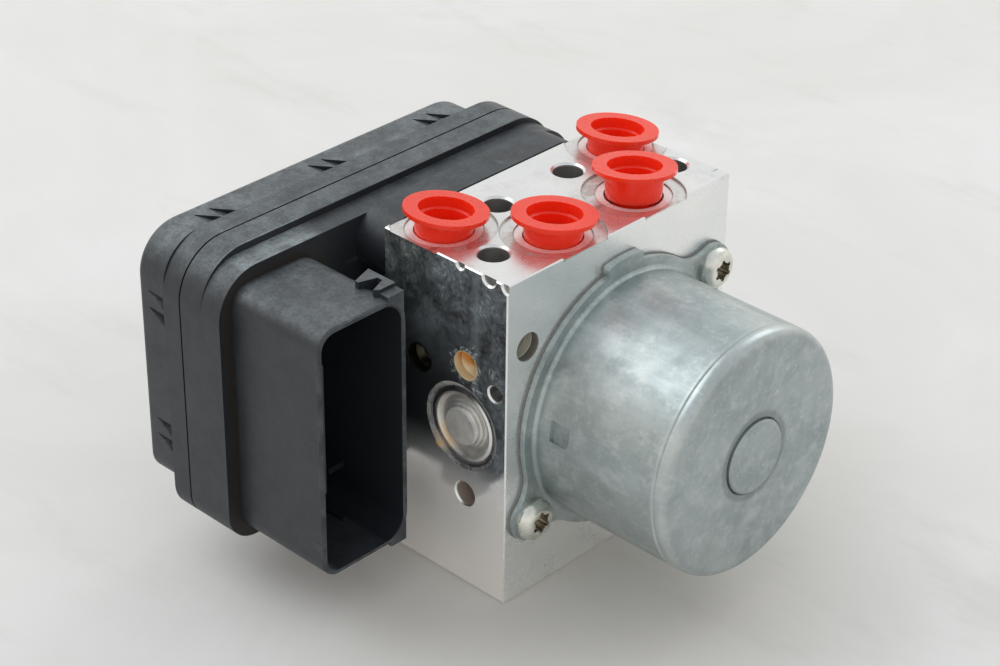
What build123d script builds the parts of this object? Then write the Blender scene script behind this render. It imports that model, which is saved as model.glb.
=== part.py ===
from build123d import *
import os
from math import cos, radians, sin

# Anti-lock brake module: hydraulic block, pump motor and electronic controller.
# Frame: millimetres, +Z up.  The origin is the centre of the block's bottom face.
# The pump motor stands out along -Y and the controller along +Y.

# ---------------------------------------------------------------- hydraulic block
BLOCK_WIDTH = 74.0
BLOCK_DEPTH = 38.0
BLOCK_HEIGHT = 84.0
BLOCK_EDGE = 0.3
# overlap of forms that are fused together
JOIN = 0.1

# ---------------------------------------------------------------- hydraulic ports
PORT_CENTRE_X = 1.1
PORT_FRONT_SPREAD = 26.8
PORT_BACK_SPREAD = 57.0
PORT_FRONT_Y = -9.2
PORT_BACK_Y = 9.8
PORT_BORE_RADIUS = 5.5
PORT_DEPTH = 12.0
PORT_SINK_RADIUS = 6.9
PORT_SINK_DEPTH = 2.8
PORT_SINK_TAPER = 1.2
SPOTFACE_RADIUS = 12.0
SPOTFACE_DEPTH = 0.5
PORT_SEAT_RADIUS = 8.9
PORT_SEAT_DEPTH = 0.3
PORT_PASSAGE_RADIUS = 1.5
PORT_PASSAGE_DEPTH = 5.0

# ---------------------------------------------------------------- drilled galleries
GALLERY_RADIUS = 3.6
GALLERY_DEPTH = 12.0
GALLERY_SINK = 0.5
GALLERY_BACK_SPREAD = 23.4
GALLERY_FRONT_SPREAD = 59.4
GALLERY_BACK_Y = 8.5
GALLERY_FRONT_Y = -6.6

BALL_RADIUS = 2.1
BALL_SINK_RADIUS = 3.5
BALL_SINK_DEPTH = 2.2
BALL_PRESS = 0.02
FRONT_BALL_X = -30.4
FRONT_BALL_Z = 66.3
SIDE_BALL_Y = -6.6
SIDE_BALL_Z = 58.9
BACK_BALL_Y = 7.8
BACK_BALL_Z = 54.9
DRILL_SLOPE = 0.6

BRACKET_HOLE_RADIUS = 2.9
BRACKET_HOLE_DEPTH = 12.0
BRACKET_HOLE_Y = -6.4
BRACKET_HOLE_HEIGHT = 24.7
BRACKET_SINK = 0.4
LOCATING_HOLE_RADIUS = 1.9
LOCATING_HOLE_DEPTH = 6.0
LOCATING_HOLE_Y = -15.5
LOCATING_HOLE_Z = 55.3
# shallow tool marks along the top edge of the left face: place along Y, and radius
EDGE_MARKS = ((-4.7, 1.5), (-13.4, 2.3), (-19.2, 2.3))
EDGE_MARK_DEPTH = 0.5
EDGE_MARK_DROP = 0.2

# ---------------------------------------------------------------- pump motor
MOTOR_HEIGHT = 42.4
CAN_RADIUS = 30.0
CAN_LENGTH = 40.4
CAN_WALL = 2.2
CAN_CORNER = 2.6
CAN_ROOT_RADIUS = 1.0
CAN_BAND = 3.6
CAN_BAND_STEP = 0.3
BOSS_RADIUS = 9.0
BOSS_RAISE = 0.8
BOSS_MOAT = 0.5
BOSS_EDGE = 0.4
FLANGE_WIDTH = 3.0
FLANGE_RADIUS = CAN_RADIUS + FLANGE_WIDTH
FLANGE_THICKNESS = 1.5
FLANGE_LUG_RADIUS = 5.7
FLANGE_BLEND = 9.0
FLANGE_TAB_WIDTH = 11.4
FLANGE_TAB_RISE = 2.4
FLANGE_TAB_STEP = 0.3
FLANGE_TAB_X = -1.0
FLANGE_TAB_CORNER = 0.8
GASKET_THICKNESS = 0.5
GASKET_LIP = 0.2
TANG_START = 6.5
TANG_LENGTH = 5.6
TANG_WIDTH = 5.2
TANG_DEPTH = 1.0
TANG_ANGLE = 9.0

MOTOR_SCREW_OFFSET = 6.5
MOTOR_SCREW_ANGLE = 34.2
SCREW_RADIUS = 2.5
SCREW_HEAD_RADIUS = 5.05
SCREW_HEAD_HEIGHT = 3.1
SCREW_REACH = 8.5
SCREW_CROWN_SHARE = 0.55
SCREW_RIM_SHARE = 0.3
SCREW_BULGE_SHARE = 0.87
SCREW_BULGE_RISE = 0.76
SCREW_CLEARANCE = 0.25
SCREW_SOCKET_RADIUS = 2.75
SCREW_SOCKET_DEPTH = 2.2
SCREW_THREAD_GAP = 0.05

# ---------------------------------------------------------------- rotor
SHAFT_RADIUS = 4.0
SHAFT_RUNNING_GAP = 0.04
CORE_LENGTH = 14.0
CORE_SLOTS = 10
CORE_SLOT_WIDTH = 5.0
CORE_SLOT_DEPTH = 8.5
CORE_SLOT_MOUTH = 2.0
CORE_TOOTH_TIP = 2.0
WINDING_OVERHANG = 3.2
WINDING_ROUND = 2.0
WINDING_CLEARANCE = 2.8
WINDING_GAP = 0.2
COMMUTATOR_RADIUS = 9.0
COMMUTATOR_LENGTH = 8.0
COMMUTATOR_GAP = 0.2
MAGNET_THICKNESS = 5.2
MAGNET_LENGTH = 21.0
MAGNET_ANGLE = 72.0
MAGNET_COUNT = 4
AIR_GAP = 0.8
REAR_BEARING_RADIUS = 8.0
REAR_BEARING_WIDTH = 5.0
BEARING_RECESS = 1.0
BEARING_END_GAP = 0.3
BEARING_SHIELD = 0.4
BEARING_RACE_SHARE = 0.28
FRONT_BEARING_RADIUS = 11.0
FRONT_BEARING_WIDTH = 7.0
FRONT_BEARING_IN_BLOCK = 2.5
BRUSH_PLATE_GAP = 0.6
BRUSH_PLATE_THICKNESS = 3.4
BRUSH_WIDTH = 4.6
BRUSH_HEIGHT = 3.6
BRUSH_LENGTH = 9.0
BRUSH_GAP = 0.1
BRUSH_BOX_WALL = 1.2
BRUSH_FIT = 0.05
TERMINAL_RISE = 24.0
TERMINAL_SPACING = 2.2
TERMINAL_WIDTH = 0.8
TERMINAL_BORE_RADIUS = 2.7

# ---------------------------------------------------------------- pump
PUMP_Y = -5.2
CHAMBER_RADIUS = 10.4
CHAMBER_END_Y = 3.2
ECCENTRICITY = 1.2
ECCENTRIC_RADIUS = 5.4
ECCENTRIC_WIDTH = 8.0
ECCENTRIC_RING_RADIUS = 8.2
ECCENTRIC_RING_INSET = 0.5
PISTON_RADIUS = 3.25
PISTON_RUNNING_GAP = 0.03
PISTON_LENGTH = 12.8
PISTON_TIP_GAP = 0.3
PISTON_PASSAGE_GAP = 0.5
SLEEVE_RADIUS = 7.4
SLEEVE_STOP = 3.0
SLEEVE_LEAD = 0.4
SPRING_END_GAP = 0.1
PUMP_SPRING_RADIUS = 2.3
PUMP_SPRING_WIRE = 0.7
PUMP_SPRING_TURNS = 3.0
CAP_RADIUS = 8.4
CAP_THICKNESS = 6.6
CAP_SINK = 0.4
CAP_MOUTH_RADIUS = 11.0
CAP_TROUGH_OUTER = 9.7
CAP_TROUGH_INNER = 9.1
CAP_TROUGH_DEPTH = 0.65
CAP_RIM_RADIUS = 8.0
CAP_GROOVE_RADIUS = 7.2
CAP_GROOVE_DEPTH = 1.2
CAP_DISC_RADIUS = 4.5
CAP_DISC_RISE = 0.9
CAP_STEPS = 3
CAP_STEP_WIDTH = 0.75
CAP_STEP_SLOPE = 0.15

# ---------------------------------------------------------------- low-pressure reservoirs
RESERVOIR_SPREAD = 29.0
RESERVOIR_RADIUS = 9.5
RESERVOIR_DEPTH = 17.0
RESERVOIR_RUNNING_GAP = 0.05
RESERVOIR_PISTON_HEIGHT = 5.0
RESERVOIR_HEAD_GAP = 0.2
RESERVOIR_CROWN = 1.6
RESERVOIR_WALL = 1.6
RESERVOIR_SEAL_HEIGHT = 1.8
RESERVOIR_SEAL_DEPTH = 1.0
RESERVOIR_SPRING_RADIUS = 6.6
RESERVOIR_SPRING_WIRE = 1.0
RESERVOIR_SPRING_TURNS = 2.5
RESERVOIR_CAP_RADIUS = 10.4
RESERVOIR_CAP_THICKNESS = 2.6
RESERVOIR_CAP_SINK = 0.4
RESERVOIR_CAP_DISH = 6.4
RESERVOIR_CAP_STEP = 1.0
RESERVOIR_FEED = 3.0

# ---------------------------------------------------------------- solenoid valves
VALVE_PITCH = 12.8
VALVE_ROW_SPREAD = 34.0
VALVE_RADIUS = 5.2
VALVE_DEPTH = 12.0
VALVE_COLLAR_RADIUS = 5.9
VALVE_COLLAR_DEPTH = 1.5
VALVE_DOME_RADIUS = 3.9
VALVE_DOME_LENGTH = 18.0
VALVE_FIT = 0.03
VALVE_BEVEL = 1.5
COIL_RADIUS = 6.0
COIL_LENGTH = 15.0
COIL_FLANGE = 1.0
COIL_WINDING_INSET = 0.8
COIL_STANDOFF = 2.0
COIL_BORE_GAP = 0.15

# ---------------------------------------------------------------- controller
PAN_LEFT = -77.3
PAN_RIGHT = 34.5
PAN_BOTTOM = 12.5
PAN_TOP = BLOCK_HEIGHT
PAN_TOP_CORNER = 13.0
PAN_BOTTOM_CORNER = 8.0
PAN_WALL = 2.4
PAN_FACE_Y = 28.7
PAN_FACE_WALL = 2.5
SHOULDER_Y = 35.0
SHOULDER_DROP = 1.7
SEAM_Y = 41.8
SEAM_GAP = 0.45
SEAM_GAP_DEPTH = 1.2
NECK_LEFT_ROOM = 4.9
NECK_RIGHT_ROOM = 0.35
NECK_LOBE_RADIUS = 9.0
NECK_LEFT_RECESS = 4.2
NECK_RIGHT_RECESS = 0.95
NECK_WALL = 2.4
NECK_SEAL_WIDTH = 1.6
NECK_SEAL_GAP = 0.3
NECK_SEAL_DEPTH = 0.9

BAND_DEPTH = 5.95
COVER_DEPTH = 15.2
COVER_RIGHT = 25.8
COVER_BOTTOM = 20.5
COVER_TOP_CORNER = 11.0
COVER_BOTTOM_CORNER = 5.0
COVER_BACK_FILLET = 2.0
COVER_WALL = 2.6
COVER_INSET = 0.25
NOTCH_LENGTH = 5.2
NOTCH_WIDTH = 4.2
NOTCH_SIDE_WIDTH = 3.4
NOTCH_DEPTH = 1.7
NOTCH_TIP = 0.3
NOTCH_PITCH = 4.3
NOTCH_PAIR_SPACING = 34.0
NOTCH_OFFSET = 3.3
NOTCH_SIDE_SPACING = 33.5
NOTCH_SIDE_DROP = 30.5

BOARD_THICKNESS = 1.6
BOARD_MARGIN = 1.0
BOARD_Y = 39.6
POST_RADIUS = 2.2

CONTROLLER_SCREW_RADIUS = 2.0
CONTROLLER_SCREW_HEAD = 3.0
CONTROLLER_SCREW_REACH = 9.0
CONTROLLER_BOSS_RADIUS = 3.5
CONTROLLER_BOSS_HEIGHT = 12.5
CONTROLLER_SCREW_CROWN = 1.0
CONTROLLER_SCREW_BEVEL = 1.2
CONTROLLER_SCREW_RIM = 1.4
CONTROLLER_SIDE_SCREW_GAP = 2.8
CONTROLLER_TOP_SCREW_DROP = 7.5
CONTROLLER_BOTTOM_SCREW_RISE = 5.5

# ---------------------------------------------------------------- connector shroud
SHROUD_LEFT = -73.7
SHROUD_RIGHT = -47.5
SHROUD_BOTTOM = 15.0
SHROUD_DROP = 5.2
SHROUD_TOP = PAN_TOP - SHROUD_DROP
SHROUD_MOUTH_Y = 1.2
SHROUD_WALL = 1.2
SHROUD_RIGHT_WALL = 1.6
SHROUD_RIM_BEVEL = 0.35
SHROUD_LEFT_CORNER = 5.0
SHROUD_RIGHT_CORNER = 7.0
KEY_RIB_WIDTH = 1.2
KEY_RIB_DEPTH = 1.4
KEY_RIB_HEIGHTS = (36.0, 48.0)
KEY_RIB_SET_BACK = 3.0
SHELF_WIDTH = 4.6
SHELF_THICKNESS = 1.5
SHELF_RISE = 10.5
SHELF_LENGTH = 7.7
FLOOR_RIB_X = -55.4
FLOOR_RIB_HEIGHT = 1.0
FLOOR_RIB_LENGTH = 14.7
STRIP_BOTTOM = 38.0
STRIP_TOP = 70.8
STRIP_HEIGHT = 0.7
STRIP_WIDTH = 1.6
LATCH_WIDTH = 5.7
LATCH_DEPTH = 8.5
LATCH_RISE = 1.7
LATCH_FOOT = 0.9
LATCH_LEDGE_DROP = 0.9
LATCH_SET_IN = 0.7
LATCH_SET_BACK = 2.6
LATCH_SLOPE = 1.9
LATCH_TIP = 1.0
LATCH_NECK = 1.3
LATCH_NOTCH_FRONT = 2.7
LATCH_NOTCH_BACK = 4.2
PIN_WIDTH = 0.64
PIN_REACH = 9.0
PIN_ROWS = 10
PIN_COLUMNS = 2
PIN_PITCH = 4.0
PIN_COLUMN_PITCH = 8.0
PIN_FIRST_HEIGHT = 22.0
BLADE_WIDTH = 4.8
BLADE_THICKNESS = 0.8
BLADE_PITCH = 5.0
BLADE_COUNT = 3
BLADE_FIRST_HEIGHT = 6.0

# ---------------------------------------------------------------- transport plugs
PLUG_FLANGE_RADIUS = 9.75
PLUG_FLANGE_THICKNESS = 1.0
PLUG_HEIGHT = 7.4
PLUG_NECK_RADIUS = 6.95
PLUG_FOOT_RADIUS = 6.5
PLUG_TIP_TOP_RADIUS = 4.9
PLUG_TIP_RADIUS = 4.3
PLUG_TIP_LENGTH = 4.0
PLUG_WALL = 0.6
PLUG_STEP_DEPTH = 2.4
PLUG_STEP = 0.7
PLUG_FLOOR = 0.8
PLUG_DRAFT = 0.15
# height of each plug's flange above its seat, and its lean about X and Y in degrees
PLUG_STANDS = (5.1, 5.4, 7.2, 4.9)
PLUG_LEANS = ((0.9, 7.1), (-1.5, 5.5), (-4.7, 5.9), (-0.9, 7.5))

# worked-out places
FRONT = -BLOCK_DEPTH / 2
BACK = BLOCK_DEPTH / 2
LEFT = -BLOCK_WIDTH / 2
RIGHT = BLOCK_WIDTH / 2


# ================================================================ helpers
def facing(y, outline, depth):
    """Extrude an X-Z outline from the plane at y towards -Y by depth."""
    plane = Plane(origin=(0, y, 0), x_dir=(1, 0, 0), z_dir=(0, -1, 0))
    return extrude(plane * outline, amount=depth)


def along_y(outline, y_front, y_back):
    """Slab with an X-Z outline between two Y positions."""
    return facing(y_back, outline, y_back - y_front)


def rod(radius, start, direction, length):
    """Solid cylinder from a start point."""
    return extrude(Plane(origin=start, z_dir=direction) * Circle(radius), amount=length)


def turned(points, start, direction):
    """Solid of revolution from (radius, height) points about a line."""
    corners = [point for index, point in enumerate(points) if point != points[index - 1]]
    profile = make_face(Polyline(*corners, close=True))
    return Plane(origin=start, z_dir=direction).location * revolve(Plane.XZ * profile, axis=Axis.Z)


def rounded(left, right, bottom, top, left_corner, right_corner):
    """Rectangle whose left and right corner pairs have their own radii."""
    box = Pos((left + right) / 2, (bottom + top) / 2) * Rectangle(right - left, top - bottom)
    box = fillet(box.vertices().group_by(Axis.X)[0], left_corner)
    return fillet(box.vertices().group_by(Axis.X)[-1].filter_by(lambda v: v.X > right - 1e-6), right_corner)


def panel(left, right, bottom, top, bottom_corner, top_corner):
    """Rectangle whose bottom and top corner pairs have their own radii."""
    box = Pos((left + right) / 2, (bottom + top) / 2) * Rectangle(right - left, top - bottom)
    lower = [v for v in box.vertices() if v.Y < bottom + 1e-6]
    box = fillet(lower, bottom_corner)
    upper = [v for v in box.vertices() if v.Y > top - 1e-6]
    return fillet(upper, top_corner)


def coil_spring(radius, wire, turns, height, start, direction):
    """Compression spring of square wire, standing on a start point."""
    rise = height - wire
    path = Helix(pitch=rise / turns, height=rise, radius=radius)
    section = Plane(origin=path @ 0, x_dir=(1, 0, 0), z_dir=path % 0) * Rectangle(wire, wire)
    spring = sweep(section, path=path, is_frenet=True)
    low = spring.bounding_box().min.Z
    return Plane(origin=start, z_dir=direction).location * (Pos(0, 0, -low) * spring)


def save(name, shape):
    """Write one sub-part."""
    solids = shape.solids()
    shape = solids[0] if len(solids) == 1 else Compound(children=list(solids))
    shape.label = name
    export_step(shape, f"parts/{name}.step")


# ================================================================ shared places
PORTS = [
    (PORT_CENTRE_X - PORT_BACK_SPREAD / 2, PORT_BACK_Y),
    (PORT_CENTRE_X - PORT_FRONT_SPREAD / 2, PORT_FRONT_Y),
    (PORT_CENTRE_X + PORT_FRONT_SPREAD / 2, PORT_FRONT_Y),
    (PORT_CENTRE_X + PORT_BACK_SPREAD / 2, PORT_BACK_Y),
]
GALLERIES = [
    (-GALLERY_BACK_SPREAD / 2, GALLERY_BACK_Y),
    (GALLERY_BACK_SPREAD / 2, GALLERY_BACK_Y),
    (PORT_CENTRE_X - GALLERY_FRONT_SPREAD / 2, GALLERY_FRONT_Y),
    (PORT_CENTRE_X + GALLERY_FRONT_SPREAD / 2, GALLERY_FRONT_Y),
]
SEAT_Z = BLOCK_HEIGHT - SPOTFACE_DEPTH - PORT_SEAT_DEPTH

VALVE_COLUMNS = [place * VALVE_PITCH for place in (-1.5, -0.5, 0.5, 1.5)]
INLET_ROW = MOTOR_HEIGHT + VALVE_ROW_SPREAD / 2
OUTLET_ROW = MOTOR_HEIGHT - VALVE_ROW_SPREAD / 2

COIL_REACH = VALVE_COLUMNS[-1] + COIL_RADIUS
NECK_WAIST_LEFT = -COIL_REACH - NECK_LEFT_ROOM - NECK_WALL
NECK_WAIST_RIGHT = COIL_REACH + NECK_RIGHT_ROOM + NECK_WALL
NECK_LEFT = NECK_WAIST_LEFT - NECK_LEFT_RECESS
NECK_RIGHT = NECK_WAIST_RIGHT + NECK_RIGHT_RECESS

MOTOR_SCREW_CIRCLE = CAN_RADIUS + MOTOR_SCREW_OFFSET
MOTOR_SCREW_X = MOTOR_SCREW_CIRCLE * cos(radians(MOTOR_SCREW_ANGLE))
MOTOR_SCREW_RISE = MOTOR_SCREW_CIRCLE * sin(radians(MOTOR_SCREW_ANGLE))
MOTOR_SCREWS = [
    (-MOTOR_SCREW_X, MOTOR_HEIGHT - MOTOR_SCREW_RISE),
    (MOTOR_SCREW_X, MOTOR_HEIGHT + MOTOR_SCREW_RISE),
]
CONTROLLER_SCREWS = [
    (VALVE_COLUMNS[0] - CONTROLLER_SIDE_SCREW_GAP, MOTOR_HEIGHT),
    (VALVE_COLUMNS[-1] + CONTROLLER_SIDE_SCREW_GAP, MOTOR_HEIGHT),
    (0, PAN_TOP - CONTROLLER_TOP_SCREW_DROP),
    (0, PAN_BOTTOM + CONTROLLER_BOTTOM_SCREW_RISE),
]

CAN_INNER = CAN_RADIUS - CAN_WALL
BRUSH_PLATE_RADIUS = CAN_INNER - BRUSH_PLATE_GAP
TERMINAL_HEIGHT = MOTOR_HEIGHT + TERMINAL_RISE
CORE_RADIUS = CAN_INNER - MAGNET_THICKNESS - AIR_GAP
CAN_END_Y = FRONT - CAN_LENGTH
CAP_FACE = RIGHT - CAP_SINK
CAP_INNER = CAP_FACE - CAP_THICKNESS
SLEEVE_INNER = CHAMBER_RADIUS + SLEEVE_STOP
PISTON_TIP = ECCENTRIC_RING_RADIUS + ECCENTRICITY + PISTON_TIP_GAP
PISTON_STROKE = 2 * ECCENTRICITY

REAR_BEARING_Y = CAN_END_Y + CAN_WALL - BEARING_RECESS
CORE_BACK_Y = CAN_END_Y + CAN_WALL + WINDING_OVERHANG + WINDING_CLEARANCE
CORE_FRONT_Y = CORE_BACK_Y + CORE_LENGTH
COMMUTATOR_Y = CORE_FRONT_Y + WINDING_OVERHANG + COMMUTATOR_GAP
FRONT_BEARING_Y = FRONT + FRONT_BEARING_IN_BLOCK - FRONT_BEARING_WIDTH
BRUSH_Y = COMMUTATOR_Y + COMMUTATOR_LENGTH / 2

RESERVOIR_HEAD_Z = RESERVOIR_DEPTH - RESERVOIR_HEAD_GAP
RESERVOIR_CAP_TOP = RESERVOIR_CAP_SINK + RESERVOIR_CAP_THICKNESS
MOTOR_AXIS = (0, MOTOR_HEIGHT)


# ================================================================ hydraulic block
def port_cut(x, y):
    """Spotface, seat ring, counterbore, threaded bore and feed of one port."""
    bore_end = BLOCK_HEIGHT - PORT_DEPTH
    drill_point = (PORT_BORE_RADIUS - PORT_PASSAGE_RADIUS) * DRILL_SLOPE
    profile = [
        (0, BLOCK_HEIGHT + 1),
        (SPOTFACE_RADIUS, BLOCK_HEIGHT + 1),
        (SPOTFACE_RADIUS, BLOCK_HEIGHT - SPOTFACE_DEPTH),
        (PORT_SEAT_RADIUS, BLOCK_HEIGHT - SPOTFACE_DEPTH),
        (PORT_SEAT_RADIUS, SEAT_Z),
        (PORT_SINK_RADIUS, SEAT_Z),
        (PORT_SINK_RADIUS, SEAT_Z - PORT_SINK_DEPTH),
        (PORT_BORE_RADIUS, SEAT_Z - PORT_SINK_DEPTH - PORT_SINK_TAPER),
        (PORT_BORE_RADIUS, bore_end),
        (PORT_PASSAGE_RADIUS, bore_end - drill_point),
        (PORT_PASSAGE_RADIUS, bore_end - drill_point - PORT_PASSAGE_DEPTH),
        (0, bore_end - drill_point - PORT_PASSAGE_DEPTH),
    ]
    return turned(profile, (x, y, 0), (0, 0, 1))


def drilled(radius, depth, sink, start, inward):
    """Drilled hole with a chamfered mouth and a pointed end."""
    profile = [
        (0, -1),
        (radius + sink, -1),
        (radius + sink, 0),
        (radius, sink),
        (radius, depth),
        (0, depth + radius * DRILL_SLOPE),
    ]
    return turned(profile, start, inward)


def ball_cut(radius, sink_radius, sink_depth, start, inward):
    """Recess with a ball seat at its foot."""
    profile = [
        (0, -1),
        (sink_radius, -1),
        (sink_radius, sink_depth),
        (radius, sink_depth + sink_radius - radius),
        (radius, sink_depth + 3 * radius),
        (0, sink_depth + 3 * radius),
    ]
    return turned(profile, start, inward)


def ball(radius, sink_depth, start, inward):
    """Ball pressed into its seat just below the recess."""
    centre = Vector(*start) + Vector(*inward) * (sink_depth + radius)
    return Pos(centre.X, centre.Y, centre.Z) * Sphere(radius - BALL_PRESS)


BALL_SEATS = [
    (BALL_RADIUS, BALL_SINK_RADIUS, BALL_SINK_DEPTH, (FRONT_BALL_X, FRONT, FRONT_BALL_Z), (0, 1, 0)),
    (BALL_RADIUS, BALL_SINK_RADIUS, BALL_SINK_DEPTH, (LEFT, SIDE_BALL_Y, SIDE_BALL_Z), (1, 0, 0)),
    (BALL_RADIUS, BALL_SINK_RADIUS, BALL_SINK_DEPTH, (LEFT, BACK_BALL_Y, BACK_BALL_Z), (1, 0, 0)),
]


def edge_mark(y, radius):
    """Shallow round mark that runs out over the top edge of the left face."""
    profile = [
        (0, -1),
        (radius, -1),
        (radius, 0),
        (radius - EDGE_MARK_DEPTH, EDGE_MARK_DEPTH),
        (0, EDGE_MARK_DEPTH),
    ]
    return turned(profile, (LEFT, y, BLOCK_HEIGHT - EDGE_MARK_DROP), (1, 0, 0))


def pump_cut(side):
    """Stepped pump bore from one side face to the eccentric chamber."""
    sleeve_end = RIGHT - SLEEVE_INNER
    profile = [
        (0, -1),
        (CAP_MOUTH_RADIUS, -1),
        (CAP_MOUTH_RADIUS, 0),
        (CAP_TROUGH_OUTER, CAP_TROUGH_DEPTH),
        (CAP_TROUGH_INNER, CAP_TROUGH_DEPTH),
        (CAP_RADIUS, CAP_SINK),
        (CAP_RADIUS, CAP_SINK + CAP_THICKNESS),
        (SLEEVE_RADIUS, CAP_SINK + CAP_THICKNESS),
        (SLEEVE_RADIUS, sleeve_end),
        (PISTON_RADIUS + PISTON_PASSAGE_GAP, sleeve_end),
        (PISTON_RADIUS + PISTON_PASSAGE_GAP, RIGHT),
        (0, RIGHT),
    ]
    return turned(profile, (side * RIGHT, PUMP_Y, MOTOR_HEIGHT), (-side, 0, 0))


def reservoir_cut(x):
    """Reservoir bore with the seat of its cap and the feed above it."""
    profile = [
        (0, -1),
        (RESERVOIR_CAP_RADIUS, -1),
        (RESERVOIR_CAP_RADIUS, RESERVOIR_CAP_TOP),
        (RESERVOIR_RADIUS, RESERVOIR_CAP_TOP),
        (RESERVOIR_RADIUS, RESERVOIR_DEPTH),
        (PORT_PASSAGE_RADIUS, RESERVOIR_DEPTH),
        (PORT_PASSAGE_RADIUS, RESERVOIR_DEPTH + RESERVOIR_FEED),
        (0, RESERVOIR_DEPTH + RESERVOIR_FEED),
    ]
    return turned(profile, (x, 0, 0), (0, 0, 1))


def valve_cut(x, z):
    """Stepped seat of one valve in the back face."""
    profile = [
        (0, -1),
        (VALVE_COLLAR_RADIUS, -1),
        (VALVE_COLLAR_RADIUS, VALVE_COLLAR_DEPTH),
        (VALVE_RADIUS, VALVE_COLLAR_DEPTH),
        (VALVE_RADIUS, VALVE_DEPTH),
        (0, VALVE_DEPTH),
    ]
    return turned(profile, (x, BACK, z), (0, -1, 0))


def hydraulic_block():
    """Machined block with every bore that it carries."""
    block = Pos(0, 0, BLOCK_HEIGHT / 2) * Box(BLOCK_WIDTH, BLOCK_DEPTH, BLOCK_HEIGHT)
    block = chamfer(block.edges(), BLOCK_EDGE)
    cuts = [port_cut(x, y) for x, y in PORTS]
    for x, y in GALLERIES:
        cuts.append(drilled(GALLERY_RADIUS, GALLERY_DEPTH, GALLERY_SINK, (x, y, BLOCK_HEIGHT), (0, 0, -1)))
    for seat in BALL_SEATS:
        cuts.append(ball_cut(*seat))
    for y, radius in EDGE_MARKS:
        cuts.append(edge_mark(y, radius))
    for side in (-1, 1):
        mouth = (side * RIGHT, BRACKET_HOLE_Y, BRACKET_HOLE_HEIGHT)
        cuts.append(drilled(BRACKET_HOLE_RADIUS, BRACKET_HOLE_DEPTH, BRACKET_SINK, mouth, (-side, 0, 0)))
        cuts.append(pump_cut(side))
        cuts.append(reservoir_cut(side * RESERVOIR_SPREAD / 2))
    mouth = (LEFT, LOCATING_HOLE_Y, LOCATING_HOLE_Z)
    cuts.append(drilled(LOCATING_HOLE_RADIUS, LOCATING_HOLE_DEPTH, BRACKET_SINK, mouth, (1, 0, 0)))
    for x in VALVE_COLUMNS:
        cuts.append(valve_cut(x, INLET_ROW))
        cuts.append(valve_cut(x, OUTLET_ROW))
    for x, z in MOTOR_SCREWS:
        cuts.append(drilled(SCREW_RADIUS, SCREW_REACH, 0, (x, FRONT, z), (0, 1, 0)))
    for x, z in CONTROLLER_SCREWS:
        cuts.append(drilled(CONTROLLER_SCREW_RADIUS, CONTROLLER_SCREW_REACH, 0, (x, BACK, z), (0, -1, 0)))
    cuts.append(rod(CHAMBER_RADIUS, (0, FRONT - 1, MOTOR_HEIGHT), (0, 1, 0), CHAMBER_END_Y - FRONT + 1))
    cuts.append(rod(FRONT_BEARING_RADIUS, (0, FRONT - 1, MOTOR_HEIGHT), (0, 1, 0), FRONT_BEARING_IN_BLOCK + 1))
    cuts.append(rod(TERMINAL_BORE_RADIUS, (0, FRONT - 1, TERMINAL_HEIGHT), (0, 1, 0), BLOCK_DEPTH + 2))
    return block - cuts


def sealing_balls():
    """Balls that close the cross drillings."""
    return Compound(
        children=[ball(radius, depth, start, inward) for radius, _, depth, start, inward in BALL_SEATS]
    )


# ================================================================ pump motor
def flange_outline(extra=0.0):
    """Round flange with two screw lugs that blend into it."""
    outline = Circle(FLANGE_RADIUS + extra)
    for x, z in MOTOR_SCREWS:
        outline += Pos(x, z - MOTOR_HEIGHT) * Circle(FLANGE_LUG_RADIUS + extra)
    outline = fillet(outline.vertices(), FLANGE_BLEND)
    return Pos(*MOTOR_AXIS) * outline


def flange_tab():
    """Raised arc at the top of the flange."""
    ring = Circle(FLANGE_RADIUS + FLANGE_TAB_RISE) - Circle(FLANGE_RADIUS - FLANGE_TAB_STEP)
    window = Pos(FLANGE_TAB_X, FLANGE_RADIUS) * Rectangle(FLANGE_TAB_WIDTH, FLANGE_RADIUS)
    arc = ring & window
    upper = [corner for corner in arc.vertices() if corner.Y > FLANGE_RADIUS]
    return Pos(*MOTOR_AXIS) * fillet(upper, FLANGE_TAB_CORNER)


def tang_cut(angle):
    """Lanced tang in the can's wall, deepest at its slot and fading towards the closed end."""
    start = FRONT - TANG_START
    far = start - TANG_LENGTH
    outline = make_face(
        Polyline(
            (CAN_RADIUS + 1, start),
            (CAN_RADIUS - TANG_DEPTH, start),
            (CAN_RADIUS, far),
            (CAN_RADIUS + 1, far),
            close=True,
        )
    )
    wedge = Pos(0, 0, -TANG_WIDTH / 2) * extrude(outline, amount=TANG_WIDTH)
    return Pos(0, 0, MOTOR_HEIGHT) * Rot(0, angle, 0) * wedge


def screw_holes(radius):
    """Two round holes at the motor screws."""
    return [Pos(x, z) * Circle(radius) for x, z in MOTOR_SCREWS]


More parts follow.
